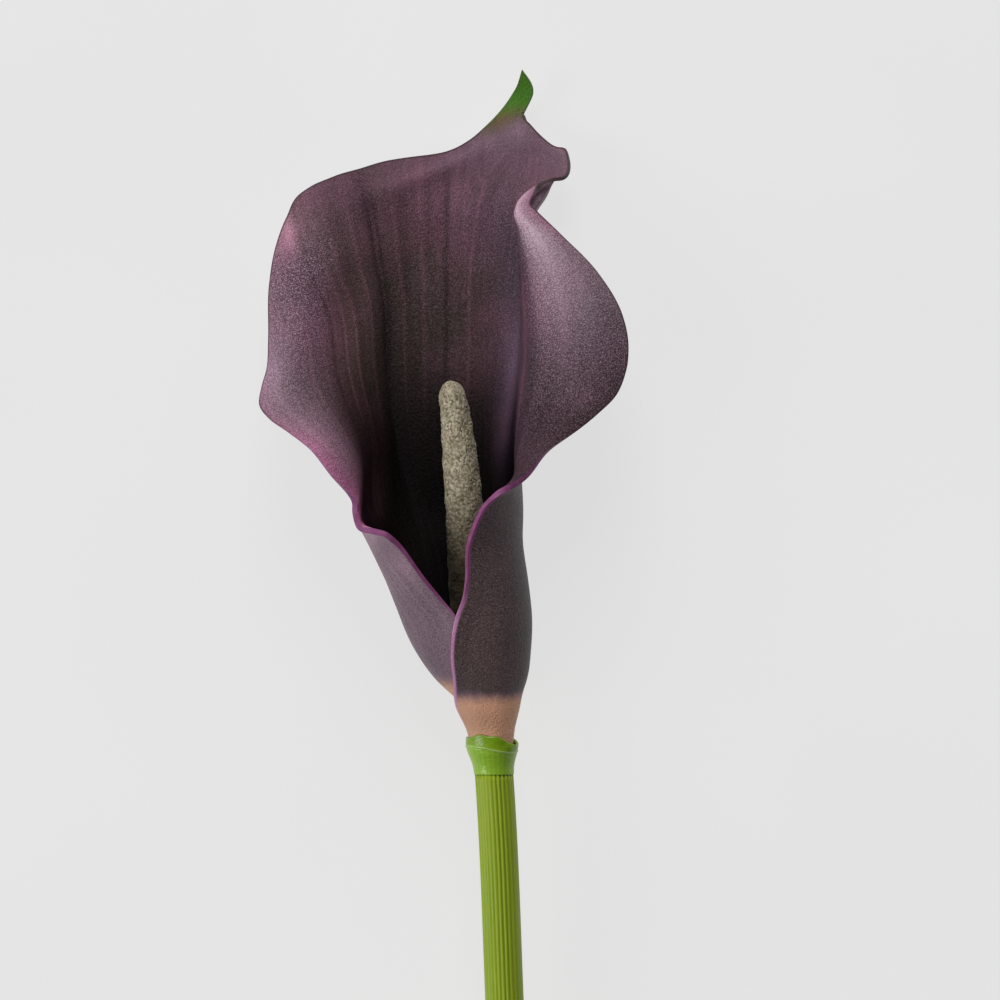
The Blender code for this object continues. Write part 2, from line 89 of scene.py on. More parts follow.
class Finish:
    """A material under making: its nodes, with a short word for each kind it is mixed from."""

    def __init__(self, name, roughness, specular=0.5, sheen=0.0, sheen_tint=(1, 1, 1), coat=0.0):
        self.material = bpy.data.materials.new(name)
        self.material.use_nodes = True
        self.tree = self.material.node_tree
        self.shader = self.tree.nodes["Principled BSDF"]
        self.shader.inputs["Roughness"].default_value = roughness
        self.shader.inputs["Specular IOR Level"].default_value = specular
        self.shader.inputs["Sheen Weight"].default_value = sheen
        self.shader.inputs["Sheen Roughness"].default_value = 0.35
        self.shader.inputs["Sheen Tint"].default_value = (*sheen_tint, 1)
        self.shader.inputs["Coat Weight"].default_value = coat
        self.shader.inputs["Coat Roughness"].default_value = 0.12

    def feed(self, socket, value):
        """Link an output to a socket, or set the socket to a number, colour or vector."""
        if isinstance(value, bpy.types.NodeSocket):
            self.tree.links.new(value, socket)
        elif isinstance(value, tuple) and len(value) == 3 and socket.type == "RGBA":
            socket.default_value = (*value, 1)
        else:
            socket.default_value = value

    def tone(self, name):
        """A number stored on the piece's points."""
        node = self.tree.nodes.new("ShaderNodeAttribute")
        node.attribute_name = name
        return node.outputs["Fac"]

    def place(self, *scale):
        """The place on the piece in metres, stretched by a scale along each axis."""
        where = self.tree.nodes.new("ShaderNodeTexCoord")
        node = self.tree.nodes.new("ShaderNodeMapping")
        self.tree.links.new(where.outputs["Object"], node.inputs["Vector"])
        node.inputs["Scale"].default_value = scale
        return node.outputs["Vector"]

    def pair(self, x, y):
        """A place made of two numbers."""
        node = self.tree.nodes.new("ShaderNodeCombineXYZ")
        self.feed(node.inputs["X"], x)
        self.feed(node.inputs["Y"], y)
        return node.outputs["Vector"]

    def noise(self, where, scale, detail=2.0, rough=0.5):
        """Cloudy noise from 0 to 1, with this many clouds to a metre."""
        node = self.tree.nodes.new("ShaderNodeTexNoise")
        self.feed(node.inputs["Vector"], where)
        node.inputs["Scale"].default_value = scale
        node.inputs["Detail"].default_value = detail
        node.inputs["Roughness"].default_value = rough
        return node.outputs["Fac"]

    def reckon(self, operation, a, b):
        node = self.tree.nodes.new("ShaderNodeMath")
        node.operation = operation
        self.feed(node.inputs[0], a)
        self.feed(node.inputs[1], b)
        return node.outputs["Value"]

    def times(self, a, b):
        return self.reckon("MULTIPLY", a, b)

    def plus(self, a, b):
        return self.reckon("ADD", a, b)

    def step(self, value, low, high, to_low=0.0, to_high=1.0):
        """A smooth step of a number from one range to another."""
        node = self.tree.nodes.new("ShaderNodeMapRange")
        node.interpolation_type = "SMOOTHSTEP"
        self.feed(node.inputs["Value"], value)
        for socket, number in zip(("From Min", "From Max", "To Min", "To Max"),
                                  (low, high, to_low, to_high)):
            node.inputs[socket].default_value = number
        return node.outputs["Result"]

    def mix(self, share, a, b):
        """Two colours mixed: all a at share 0, all b at share 1."""
        node = self.tree.nodes.new("ShaderNodeMix")
        node.data_type = "RGBA"
        self.feed(node.inputs["Factor"], share)
        self.feed(node.inputs[MIX_COLOUR_A], a)
        self.feed(node.inputs[MIX_COLOUR_B], b)
        return node.outputs[MIX_COLOUR_RESULT]

    def scaled(self, colour, by):
        """A colour made lighter or darker by a number."""
        node = self.tree.nodes.new("ShaderNodeVectorMath")
        node.operation = "SCALE"
        self.feed(node.inputs[0], colour)
        self.feed(node.inputs["Scale"], by)
        return node.outputs["Vector"]

    def bumps(self, height, depth):
        """Small relief of a height from 0 to 1 and a depth in metres."""
        node = self.tree.nodes.new("ShaderNodeBump")
        node.inputs["Distance"].default_value = depth
        self.feed(node.inputs["Height"], height)
        self.feed(self.shader.inputs["Normal"], node.outputs["Normal"])

    def colour(self, value):
        self.feed(self.shader.inputs["Base Color"], value)

    def roughness(self, value):
        self.feed(self.shader.inputs["Roughness"], value)


def pale_table():
    finish = Finish("pale matt table", roughness=0.9, specular=0.1)
    clouds = finish.noise(finish.place(1, 1, 1), 9, 3)
    finish.colour(finish.mix(finish.step(clouds, 0.3, 0.7), *TABLE_SHADES))
    finish.shader.inputs["Emission Color"].default_value = (1, 1, 1, 1)
    finish.shader.inputs["Emission Strength"].default_value = TABLE_GLOW
    return finish.material


def soft_box(name, away, target, watts):
    """A round soft box aimed at its target from this far to its right, beyond it and above it."""
    lamp = bpy.data.lights.new(name, "AREA")
    lamp.shape = "DISK"
    lamp.size = SOFT_BOX_SIZE
    lamp.energy = watts
    made = bpy.data.objects.new(name, lamp)
    bpy.context.scene.collection.objects.link(made)
    made.location = (target[0] + away[0], target[1] + away[1], away[2])
    made.rotation_euler = (Vector(target) - made.location).to_track_quat("-Z", "Y").to_euler()


bpy.ops.mesh.primitive_plane_add(size=TABLE_SIZE, location=(0, 0, -TABLE_BELOW))
table = bpy.context.object
table.name = "table"
table.data.materials.append(pale_table())

middle = on_table(VIEW_MIDDLE)
soft_box("far soft box", FAR_BOX, middle, FAR_BOX_WATTS)
soft_box("left soft box", LEFT_BOX, middle, LEFT_BOX_WATTS)

room = bpy.data.worlds.new("studio")
bpy.context.scene.world = room
room.use_nodes = True
backdrop = room.node_tree.nodes["Background"]
backdrop.inputs["Color"].default_value = (1, 1, 1, 1)
backdrop.inputs["Strength"].default_value = ROOM_LIGHT

lens = bpy.data.cameras.new("camera")
lens.lens = LENS
lens.sensor_width = SENSOR
lens.clip_start = 0.01
camera = bpy.data.objects.new("camera", lens)
bpy.context.scene.collection.objects.link(camera)
camera.location = (middle[0], middle[1], middle[2] + CAMERA_HEIGHT)
bpy.context.scene.camera = camera
bpy.context.scene.view_settings.view_transform = "Standard"


# ---- stem ----
# The flower's stalk: a soft green rod with fine lengthwise ribs, paler than the grooves between.
# Rings of points along its middle line run from the cut end to the peg that holds the spadix.
STEM_RADIUS = 3.85
STEM_RIBS = 28
STEM_RIB_DEPTH = 0.24
STEM_RING_POINTS = STEM_RIBS * 9
STEM_RINGS = 170
STEM_END_Y = -244.0
# Slow changes of the ribs' depth as shares of it: how many round the stalk, size, mm along it.
RIB_MEAN = 0.62
RIB_DRIFT = ((3, 0.25, 31), (5, 0.20, -47))
# Rings of the dished cut end, up from it: how far, and the share of the radius. The pith shows
# on those that are within this depth and narrower than this share.
CUT_END = ((0.7, 0.05), (0.5, 0.6), (0.15, 0.86), (0.0, 0.97))
CUT_DEPTH, CUT_SHARE = 0.9, 0.95
# Rings above the ribbed length, for the neck under the wrap and the peg: height, share of radius.
RIBS_END_Y = -6.9
NECK_AND_PEG = ((-6.5, 0.845), (-3.0, 0.845), (-2.6, 0.44), (3.0, 0.44), (11.0, 0.44))
# The stalk's middle line from the cut end up: height, middle x, middle z.
STEM_LINE = (
    (STEM_END_Y, 10.6, 3.95), (-205.0, 8.9, 5.0), (-165.0, 7.0, 6.5), (-110.0, 4.7, 8.8),
    (-55.0, 2.6, 11.1), (-9.0, 0.55, 13.0), (-3.4, 0.15, 13.2), (3.0, -0.35, 13.4),
    (11.0, -1.0, 13.8),
)
GROOVE_GREEN = (0.235, 0.335, 0.008), (0.275, 0.380, 0.012)
CROWN_GREEN = (0.275, 0.390, 0.010), (0.320, 0.445, 0.018)
PITH = (0.42, 0.46, 0.20), (0.30, 0.36, 0.10)


def through(keys, values, at):
    """A smooth line through the values at their keys, read at the given places."""
    keys = np.asarray(keys, float)
    values = np.asarray(values, float)
    slopes = np.gradient(values, keys, axis=0)
    k = np.clip(np.searchsorted(keys, at, side="right") - 1, 0, len(keys) - 2)
    span = (keys[k + 1] - keys[k])[:, None]
    t = (np.asarray(at)[:, None] - keys[k][:, None]) / span
    t2, t3 = t * t, t * t * t
    start = (2 * t3 - 3 * t2 + 1) * values[k] + (t3 - 2 * t2 + t) * span * slopes[k]
    end = (3 * t2 - 2 * t3) * values[k + 1] + (t3 - t2) * span * slopes[k + 1]
    return start + end


def ease(low, high, x):
    """0 below low, 1 above high, and a smooth step between."""
    t = np.clip((np.asarray(x, float) - low) / (high - low), 0, 1)
    return t * t * (3 - 2 * t)


def stem_middle(y):
    """The stalk's middle line at these heights, as x, y, z."""
    xz = through([p[0] for p in STEM_LINE], [p[1:] for p in STEM_LINE], y)
    return np.stack([xz[:, 0], y, xz[:, 1]], axis=1)


def ringed_mesh(name, rings, looped=False):
    """A closed skin over rings of points in metres: capped at both ends, or looped like a hoop."""
    count, around = rings.shape[:2]
    index = np.arange(count * around).reshape(count, around)
    if looped:
        index = np.vstack([index, index[:1]])
    beside = np.roll(index, -1, axis=1)
    quads = np.stack([index[:-1], index[1:], beside[1:], beside[:-1]], axis=-1)
    faces = quads.reshape(-1, 4).tolist()
    if not looped:
        faces += [index[0].tolist(), index[-1][::-1].tolist()]
    mesh = bpy.data.meshes.new(name)
    mesh.from_pydata(rings.reshape(-1, 3).tolist(), [], faces)
    mesh.update()
    mesh.shade_smooth()
    return mesh


def give_tone(mesh, name, values):
    """Store one number per point of a mesh, for its finish to read."""
    tone = mesh.attributes.new(name, "FLOAT", "POINT")
    tone.data.foreach_set("value", np.asarray(values, np.float32).ravel())


def place_piece(name, mesh, node, finishes):
    """Put a finished piece in the flower, in place of the plain solid of that name."""
    made = bpy.data.objects.new(name, mesh)
    bpy.context.scene.collection.objects.link(made)
    for finish in finishes:
        mesh.materials.append(finish)
    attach(made, "root")
    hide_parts(node)
    return made


def around_stem(y, radius, angle):
    """Points round the stalk's middle line; the angle is 0 straight down and turns to the right."""
    middle_line = stem_middle(y)
    x = middle_line[:, :1] + radius * np.sin(angle)
    z = middle_line[:, 2:] - radius * np.cos(angle)
    return np.stack([x, np.broadcast_to(y[:, None], x.shape), z], axis=2)


def rib_height(angle):
    """0 in the groove and 1 on the crown of a rib, with crowns broader than grooves."""
    return (0.5 + 0.5 * np.cos(STEM_RIBS * angle)) ** 0.7


def stem_mesh():
    ribbed = np.linspace(STEM_END_Y, RIBS_END_Y, STEM_RINGS)[1:]
    up, cut_share = np.transpose(CUT_END)
    top_y, top_share = np.transpose(NECK_AND_PEG)
    y = np.concatenate([STEM_END_Y + up, ribbed, top_y])
    share = np.concatenate([cut_share, np.ones(len(ribbed)), top_share])[:, None]
    angle = np.linspace(0, 2 * math.pi, STEM_RING_POINTS, endpoint=False)[None, :]
    rib = np.broadcast_to(rib_height(angle), (len(y), STEM_RING_POINTS))
    drift = sum(size * np.sin(n * angle + y[:, None] / length) for n, size, length in RIB_DRIFT)
    depth = STEM_RIB_DEPTH * (RIB_MEAN + drift)
    rings = around_stem(y, (STEM_RADIUS - depth * (1 - rib)) * share, angle)
    mesh = ringed_mesh("stem", on_table(rings))
    give_tone(mesh, "rib", rib)
    in_cut = (y[:, None] < STEM_END_Y + CUT_DEPTH) & (share < CUT_SHARE)
    give_tone(mesh, "cut", np.broadcast_to(in_cut, rib.shape))
    return mesh


def green_stalk():
    finish = Finish("ribbed green stalk", roughness=0.50, specular=0.30)
    streaks = finish.noise(finish.place(1, 0.03, 1), 900, 3)
    clouds = finish.noise(finish.place(1, 0.35, 1), 160, 2)
    groove = finish.mix(finish.step(clouds, 0.35, 0.65), *GROOVE_GREEN)
    crown = finish.mix(finish.step(streaks, 0.35, 0.65), *CROWN_GREEN)
    skin = finish.mix(finish.step(finish.tone("rib"), 0.05, 0.85), groove, crown)
    pith = finish.mix(finish.step(streaks, 0.4, 0.6), *PITH)
    finish.colour(finish.mix(finish.tone("cut"), skin, pith))
    finish.roughness(finish.step(streaks, 0.3, 0.7, 0.40, 0.54))
    finish.bumps(finish.noise(finish.place(1, 0.15, 1), 2600, 3), 0.00006)
    return finish.material


place_piece("ribbed_stalk", stem_mesh(), "stem", [green_stalk()])


# ---- spadix ----
# The grainy finger in the throat, crowded with tiny pollen grains. Each grain is a small dome
# on a turned core, set out in the spiral that florets grow in, a little uneven in size. The
# core bows to the left low down and leans back at the tip.
SPADIX_FOOT = (-1.0, 11.4, 13.9)
SPADIX_TOP = (-8.1, 71.9, 19.0)
SPADIX_LENGTH = 60.4
SPADIX_RADIUS = 4.1
SPADIX_PROFILE = ((0, 0.76), (0.10, 0.975), (0.35, 1), (0.75, 0.83), (0.90, 0.695), (1, 0.56))
SPADIX_DOME_FROM = 0.95
SPADIX_BOW = 7.3
SPADIX_LEAN, SPADIX_LEAN_FROM = 0.36, 0.90
# Its long lumps: height, how many radians up its length and how many times round it.
SPADIX_LUMPS = ((0.07, 61, 5), (0.06, 93, -3))
SPADIX_SIDES = 190
SPADIX_RINGS, DOME_RINGS = 330, 40
DOME_TURN = 1.53
GRAINS = 10500
GRAIN_REACH = 0.31
GRAIN_HEIGHT = 0.15
GRAIN_SIZES = (0.30, 1.40)
GRAIN_STRAY_TURN, GRAIN_STRAY_MM = 0.10, 0.20
GOLDEN_TURN = math.pi * (3 - math.sqrt(5))
GRAIN_DARK, GRAIN_PALE = (0.200, 0.160, 0.095), (0.640, 0.575, 0.430)
GRAIN_GAP, GRAIN_PATCH = (0.170, 0.140, 0.090), (0.20, 0.17, 0.10)
THROAT_SHADOW = (0.036, 0.025, 0.011)


def spadix_radius(share):
    """Radius at a share of the length: a narrow foot, a long taper and a blunt round top."""
    body = np.interp(share, *np.transpose(SPADIX_PROFILE))
    top = np.sqrt(np.clip(1 - ((share - SPADIX_DOME_FROM) / (1 - SPADIX_DOME_FROM)).clip(0) ** 2, 0, 1))
    return SPADIX_RADIUS * body * top


def spadix_mesh():
    dome_rise = np.sin(np.linspace(0, DOME_TURN, DOME_RINGS))
    share = np.concatenate([np.linspace(0, SPADIX_DOME_FROM - 0.01, SPADIX_RINGS),
                            SPADIX_DOME_FROM + (1 - SPADIX_DOME_FROM) * dome_rise])
    angle = np.linspace(0, 2 * math.pi, SPADIX_SIDES, endpoint=False)
    radius = spadix_radius(share)
    core = np.stack([radius[:, None] * np.cos(angle), radius[:, None] * -np.sin(angle),
                     np.broadcast_to(share[:, None] * SPADIX_LENGTH, (len(share), len(angle)))], axis=2)

    random = np.random.default_rng(7)
    order = (np.arange(GRAINS) + 0.5) / GRAINS
    grain_share = np.interp(order, np.cumsum(radius) / radius.sum(), share)
    grain_radius = spadix_radius(grain_share)
    turn = GOLDEN_TURN * np.arange(GRAINS) + random.normal(0, GRAIN_STRAY_TURN, GRAINS)
    middles = np.stack([grain_radius * np.cos(turn), grain_radius * np.sin(turn),
                        grain_share * SPADIX_LENGTH + random.normal(0, GRAIN_STRAY_MM, GRAINS)], axis=1)
    size = random.uniform(*GRAIN_SIZES, GRAINS)
    shade = random.uniform(0, 1, GRAINS)
    tree = kdtree.KDTree(GRAINS)
    for i, point in enumerate(middles):
        tree.insert(point, i)
    tree.balance()
    dome = np.zeros(core.shape[:2])
    tint = np.zeros(core.shape[:2])
    for row in range(core.shape[0]):
        for column in range(core.shape[1]):
            _, i, distance = tree.find(core[row, column])
            dome[row, column] = size[i] * max(0.0, 1 - (distance / GRAIN_REACH) ** 4)
            tint[row, column] = shade[i]
    outward = core * (1, 1, 0)
    outward[share > SPADIX_DOME_FROM] += (0, 0, 1)
    outward /= np.linalg.norm(outward, axis=2, keepdims=True)
    up = share[:, None]
    lumps = sum(size * np.sin(waves * up + n * angle) for size, waves, n in SPADIX_LUMPS)
    relief = GRAIN_HEIGHT * (dome - 0.5) + lumps * ease(0, 0.05, up)
    points = core + outward * relief[..., None]
    bow = SPADIX_BOW * share ** 0.6 * (1 - share) ** 3
    lean = SPADIX_LEAN * ease(SPADIX_LEAN_FROM, 1.0, share)
    points[..., 1] -= (bow + lean)[:, None]
    mesh = ringed_mesh("spadix", points * MM)
    give_tone(mesh, "dome", dome)
    give_tone(mesh, "tint", tint)
    give_tone(mesh, "height", np.broadcast_to(share[:, None], dome.shape))
    return mesh


def grainy_khaki():
    finish = Finish("grainy khaki pollen", roughness=0.86, specular=0.25, sheen=0.15)
    grain = finish.mix(finish.tone("tint"), GRAIN_DARK, GRAIN_PALE)
    gaps = finish.mix(finish.step(finish.tone("dome"), 0.0, 0.35), GRAIN_GAP, grain)
    clouds = finish.noise(finish.place(1, 1, 1), 260, 3)
    patchy = finish.mix(finish.step(clouds, 0.35, 0.7, 0.0, 0.35), gaps, GRAIN_PATCH)
    in_shadow = finish.step(finish.tone("height"), 0.36, 0.76, 0.96, 0.0)
    finish.colour(finish.mix(in_shadow, patchy, THROAT_SHADOW))
    finish.bumps(finish.noise(finish.place(1, 1, 1), 4200, 3), 0.00008)
    return finish.material


spadix = place_piece("grainy_spadix", spadix_mesh(), "spadix", [grainy_khaki()])
foot, top = Vector(on_table(SPADIX_FOOT)), Vector(on_table(SPADIX_TOP))
spadix.location = foot
spadix.rotation_mode = "QUATERNION"
spadix.rotation_quaternion = (top - foot).to_track_quat("Z", "X")


# ---- spathe ----
# The bloom's one big sheet: soft foam rolled right over left into a funnel, with two flaring
# wings, thin cut rims and a hooked green tip. Guide lines drawn up the sheet carry a smooth
# surface; soft folds are raised on it, and the sheet is then given its thickness.
SHEET = 1.15
SHEET_AT_BASE = 0.75
SHEET_AT_EDGE = 0.7
EDGE_BAND = 0.16
# Heights between which the margins, and then the whole sheet, grow thin.
THIN_MARGINS, THIN_TIP = (56, 84), (116, 126)
RIM_ROUNDING = 0.22
RIM_ANGLE = 50

# The rolled funnel: height, middle x, middle z, radius, left end angle, right end angle.
# Angles are in degrees from the back, positive to the right; past 180 a side laps the front.
FUNNEL = (
    (-1.8, -0.1, 13.25, 4.3, -122, 285),
    (1.5, -0.25, 13.3, 4.75, -136, 272),
    (7.0, -1.15, 13.55, 6.85, -156, 246),
    (12.0, -2.7, 14.1, 9.7, -170, 212),
    (18.0, -4.3, 14.8, 12.1, -173, 199),
    (24.5, -5.5, 15.4, 13.5, -170, 187),
    (28.0, -6.2, 15.8, 13.9, -158, 178),
    (32.0, -7.25, 16.2, 14.45, -147, 171),
    (39.0, -9.3, 16.8, 15.55, -136, 162),
)
# Where it laps itself: the gap between the layers as a share of the radius, the angle (radians)
# over which the left end steps in, and how far ahead of the right end's edge it starts.
LAP_GAP = 0.135
LAP_RAMP = 0.9
LAP_LEAD = 0.6

# Guide lines of the open sheet above the funnel, from the left margin round the back to the
# right margin. The first number is the height at which that ring crosses the midrib, the rest
# is the guide's own point (x, y, z). Past the last one the inner lines run evenly into the tip.
LEFT_MARGIN = (
    (41, -20.2, 40.35, 27.3), (42, -20.9, 40.85, 27.4), (43, -22.0, 41.15, 27.2),
    (44.5, -23.6, 41.5, 26.8), (47, -25.7, 41.9, 25.6), (49.5, -26.5, 43.1, 24.8),
    (52, -27.0, 45.1, 24.4), (55, -27.2, 47.3, 24.6), (60, -31.5, 52.3, 26.0),
    (65, -35.9, 57.7, 25.4), (69, -40.2, 60.9, 23.6), (73, -43.9, 63.6, 21.2),
    (76, -45.9, 66.3, 19.4), (79, -45.5, 69.9, 17.6), (82.5, -44.5, 73.8, 16.2),
    (87, -44.3, 79.6, 14.6), (95, -44.2, 90.8, 11.0), (103, -41.2, 104.0, 8.0),
    (106.5, -38.6, 108.8, 7.1), (109, -33.5, 111.7, 6.6), (113, -22.0, 115.5, 5.0),
    (118, -8.9, 117.8, 3.7), (121, -4.6, 120.0, 3.4), (124, -1.3, 122.8, 3.3),
    (128.5, 2.7, 127.2, 3.6), (130.5, 4.2, 129.4, 4.2), (132, 5.1, 131.1, 5.0),
    (134, 6.0, 134.0, 6.2),
)
LEFT_RIM = (
    (46, -26.3, 43.0, 21.5), (52, -26.2, 45.6, 22.6), (60, -27.6, 53.5, 25.0),
    (69, -34.5, 61.5, 25.5), (78, -41.0, 69.0, 22.5), (87, -40.5, 80.0, 19.5),
    (95, -40.0, 91.5, 15.5), (103, -36.5, 102.5, 11.2), (109, -30.0, 108.5, 7.6),
    (113, -19.5, 112.5, 5.2), (118, -7.0, 117.0, 3.8),
)
LEFT_WING = (
    (46, -26.5, 44.0, 15.5), (60, -26.8, 56.0, 16.0), (78, -33.0, 73.0, 16.5),
    (95, -33.0, 93.0, 12.6), (109, -25.0, 108.0, 6.6), (118, -5.0, 117.0, 3.7),
)
LEFT_WALL = (
    (46, -23.5, 45.0, 6.5), (60, -24.5, 58.5, 6.5), (78, -28.0, 76.5, 8.0),
    (95, -27.0, 95.5, 7.2), (109, -19.5, 108.5, 4.9), (118, -3.0, 117.0, 3.5),
)
BACK_LEFT = (
    (46, -16.0, 46.0, 0.8), (78, -20.0, 79.0, 0.2), (95, -19.0, 97.0, 1.4),
    (109, -14.0, 109.0, 3.2), (118, -1.0, 117.0, 3.3),
)
MIDRIB = (
    (46, -8.0, 46.0, -0.6), (78, -10.0, 79.5, -1.8), (95, -9.5, 97.0, -0.4),
    (109, -6.0, 109.0, 2.0), (118, 1.0, 117.0, 3.2),
)
BACK_RIGHT = (
    (46, 0.0, 46.0, 2.8), (78, -0.5, 79.0, 0.6), (95, 0.0, 96.5, 1.1),
    (109, 2.0, 109.5, 2.6), (118, 5.5, 117.0, 3.5),
)
RIGHT_WALL = (
    (46, 5.4, 45.5, 10.0), (60, 4.9, 59.0, 8.0), (78, 8.5, 77.5, 4.8), (95, 10.0, 95.5, 4.4),
    (109, 10.6, 106.2, 7.4), (113, 12.5, 109.6, 6.9), (118, 12.0, 115.8, 5.0),
)
RIGHT_CREST = (
    (46, 6.2, 45.0, 19.0), (60, 4.8, 57.5, 17.0), (69, 3.8, 66.0, 17.2), (78, 3.2, 76.0, 16.2),
    (95, 3.4, 94.5, 13.5), (109, 6.8, 105.0, 10.8), (113, 9.2, 108.2, 10.0),
    (118, 13.6, 114.6, 6.7),
)
RIGHT_WING = (
    (46, 3.4, 44.0, 28.0), (60, 6.2, 56.0, 24.2), (69, 10.0, 63.5, 26.6), (78, 13.6, 74.0, 27.6),
    (87, 13.2, 84.0, 26.4), (95, 10.4, 93.2, 22.4), (103, 6.4, 101.0, 18.0),
    (109, 3.3, 105.4, 14.8), (113, 5.3, 108.6, 12.8), (118, 14.0, 113.0, 8.2),
)
RIGHT_MARGIN = (
    (44, -2.6, 44.6, 32.0), (52, 0.8, 48.6, 31.0), (60, 6.9, 52.4, 28.6),
    (65, 11.0, 57.2, 26.8), (69, 15.9, 60.6, 25.4), (73, 20.9, 64.7, 23.6),
    (76, 24.5, 68.4, 22.2), (79, 26.4, 73.1, 20.8), (82, 26.9, 77.4, 19.4),
    (87, 25.9, 83.8, 16.8), (95, 20.8, 92.9, 13.6), (103, 13.5, 100.5, 12.6),
    (109, 8.6, 105.4, 13.2), (111.5, 7.6, 106.6, 13.1), (113.5, 8.4, 108.4, 12.6),
    (115.5, 9.8, 110.7, 11.6), (117, 12.1, 111.6, 10.5), (118.3, 14.3, 111.9, 9.8),
    (119.3, 15.3, 112.9, 9.0), (120.2, 15.6, 114.7, 8.0), (121.1, 15.3, 116.8, 6.9),
    (121.8, 14.8, 118.1, 6.3), (122.6, 13.4, 118.3, 5.6), (123.8, 11.8, 119.1, 5.1),
    (125, 9.6, 121.1, 4.6), (126.4, 7.7, 123.2, 4.2), (127.6, 6.3, 124.7, 4.0),
    (129.2, 7.0, 126.4, 4.2), (131, 8.3, 129.4, 4.8), (132.5, 7.8, 131.5, 5.4),
    (134, 6.0, 134.0, 6.2),
)
GUIDES = (
    LEFT_MARGIN, LEFT_RIM, LEFT_WING, LEFT_WALL, BACK_LEFT, MIDRIB,
    BACK_RIGHT, RIGHT_WALL, RIGHT_CREST, RIGHT_WING, RIGHT_MARGIN,
)
TIP_HEIGHTS = (124.0, 126.5, 129.0, 131.5, 134.0)
SHEET_FOOT = -1.8
SHEET_TOP = 134.0

# The back is pressed flat where it lies: height of the sheet's middle there, and the blend.
FLAT = 0.575
FLAT_BLEND = 0.9

# Soft lengthwise folds of the open sheet: place across (0 left, 1 right), width, depth; and the
# heights between which they rise out of it and sink back into it.
FOLDS = (
    (0.10, 0.022, 0.25), (0.17, 0.024, -0.25), (0.25, 0.022, 0.35), (0.305, 0.018, 0.20),
    (0.355, 0.020, -0.55), (0.40, 0.020, 0.40), (0.455, 0.018, 0.25), (0.51, 0.022, -0.22),
    (0.57, 0.024, 0.20), (0.84, 0.016, -0.25), (0.885, 0.014, 0.28), (0.925, 0.014, 0.22),
)
FOLDS_RISE, FOLDS_SINK = (44, 66), (106, 124)
# Past FAN_FROM the folds fan straight out to the top margin: the fan's middle line, how far
# below that height its lines would meet, and where across the sheet it gives out.
FAN_X = -10.1
FAN_REACH = 93.0
FAN_FROM, FAN_FULL = 80.0, 94.0
FAN_END = (0.5, 0.62)


def sheet_thickness(height):
    return SHEET_AT_BASE + (SHEET - SHEET_AT_BASE) * ease(1.0, 14.0, height)


def funnel_row(height, middle_x, middle_z, radius, left, right):
    """The guide points of one rolled ring; its left end tucks in under its right end."""
    count = len(GUIDES)
    angles = np.radians(np.linspace(left, right, count))
    swell = np.full(count, 3 / (2 + math.cos(angles[1] - angles[0])))
    swell[[0, -1]] = 1
    thick = float(sheet_thickness(height))
    lap = math.radians(right - 360) + LAP_RAMP + LAP_LEAD
    tuck = np.clip((lap - angles) / LAP_RAMP, 0, 1) * (thick + LAP_GAP * radius)
    reach = (radius - thick / 2 - tuck) * swell
    x = middle_x + reach * np.sin(angles)
    z = middle_z - reach * np.cos(angles)
    return np.stack([x, np.full(count, height), z], axis=1)


def guide_line(index):
    """One guide from the rolled foot upwards: its keys and its points."""
    foot = [funnel_row(*row)[index] for row in FUNNEL]
    keys = [row[0] for row in FUNNEL] + [point[0] for point in GUIDES[index]]
    return keys, np.array(foot + [point[1:] for point in GUIDES[index]])


def guide_points(heights):
    """The guides' points on the rings at these heights."""
    last = len(GUIDES) - 1
    left_keys, left = guide_line(0)
    right_keys, right = guide_line(last)
    left_tip = through(left_keys, left, TIP_HEIGHTS)
    right_tip = through(right_keys, right, TIP_HEIGHTS)
    lines = [through(left_keys, left, heights)]
    for index in range(1, last):
        keys, points = guide_line(index)
        share = index / last
        tip = (1 - share) * left_tip + share * right_tip
        lines.append(through(keys + list(TIP_HEIGHTS), np.vstack([points, tip]), heights))
    lines.append(through(right_keys, right, heights))
    return np.stack(lines, axis=1)


def spline_weights(count, at):
    """Weights of a clamped cubic B-spline with this many control points, at 0 to 1."""
    degree = 3
    knots = np.concatenate([np.zeros(degree), np.linspace(0, 1, count - degree + 1), np.ones(degree)])
    at = np.clip(np.asarray(at, float), 0, 1 - 1e-9)[:, None]
    weights = ((at >= knots[:-1]) & (at < knots[1:])).astype(float)
    for k in range(1, degree + 1):
        rise = knots[k:-1] - knots[:-k - 1]
        fall = knots[k + 1:] - knots[1:-k]
        up = np.where(rise > 0, (at - knots[:-k - 1]) / np.where(rise > 0, rise, 1), 0)
        down = np.where(fall > 0, (knots[k + 1:] - at) / np.where(fall > 0, fall, 1), 0)
        weights = up * weights[:, :-1] + down * weights[:, 1:]
    return weights


def laid_flat(z):
    """Press the sheet flat where it would pass below the table that it lies on."""
    above = z - FLAT
    blend = (above + FLAT_BLEND) ** 2 / (4 * FLAT_BLEND)
    return FLAT + np.where(above > FLAT_BLEND, above, np.where(above < -FLAT_BLEND, 0, blend))


def bell(x, middle, width):
    """1 at the middle, falling off smoothly to both sides."""
    return np.exp(-(((x - middle) / width) ** 2))


def between(x, rise, fall):
    """1 between the two places, with a smooth rise before and a smooth fall after."""
    return ease(*rise, x) * (1 - ease(*fall, x))


def fold_lanes(across, heights, points):
    """The place across that the fold line through each point has where the fan starts."""
    start = spline_weights(len(GUIDES), across) @ guide_points([FAN_FROM])[0]
    spread = 1 + (points[..., 1] - start[:, 1]) / FAN_REACH
    back = across < 0.6
    lanes = np.interp(FAN_X + (points[..., 0] - FAN_X) / spread, start[back, 0], across[back])
    share = ease(FAN_FROM, FAN_FULL, heights)[:, None] * (1 - ease(*FAN_END, across))
    return across + share * (lanes - across)


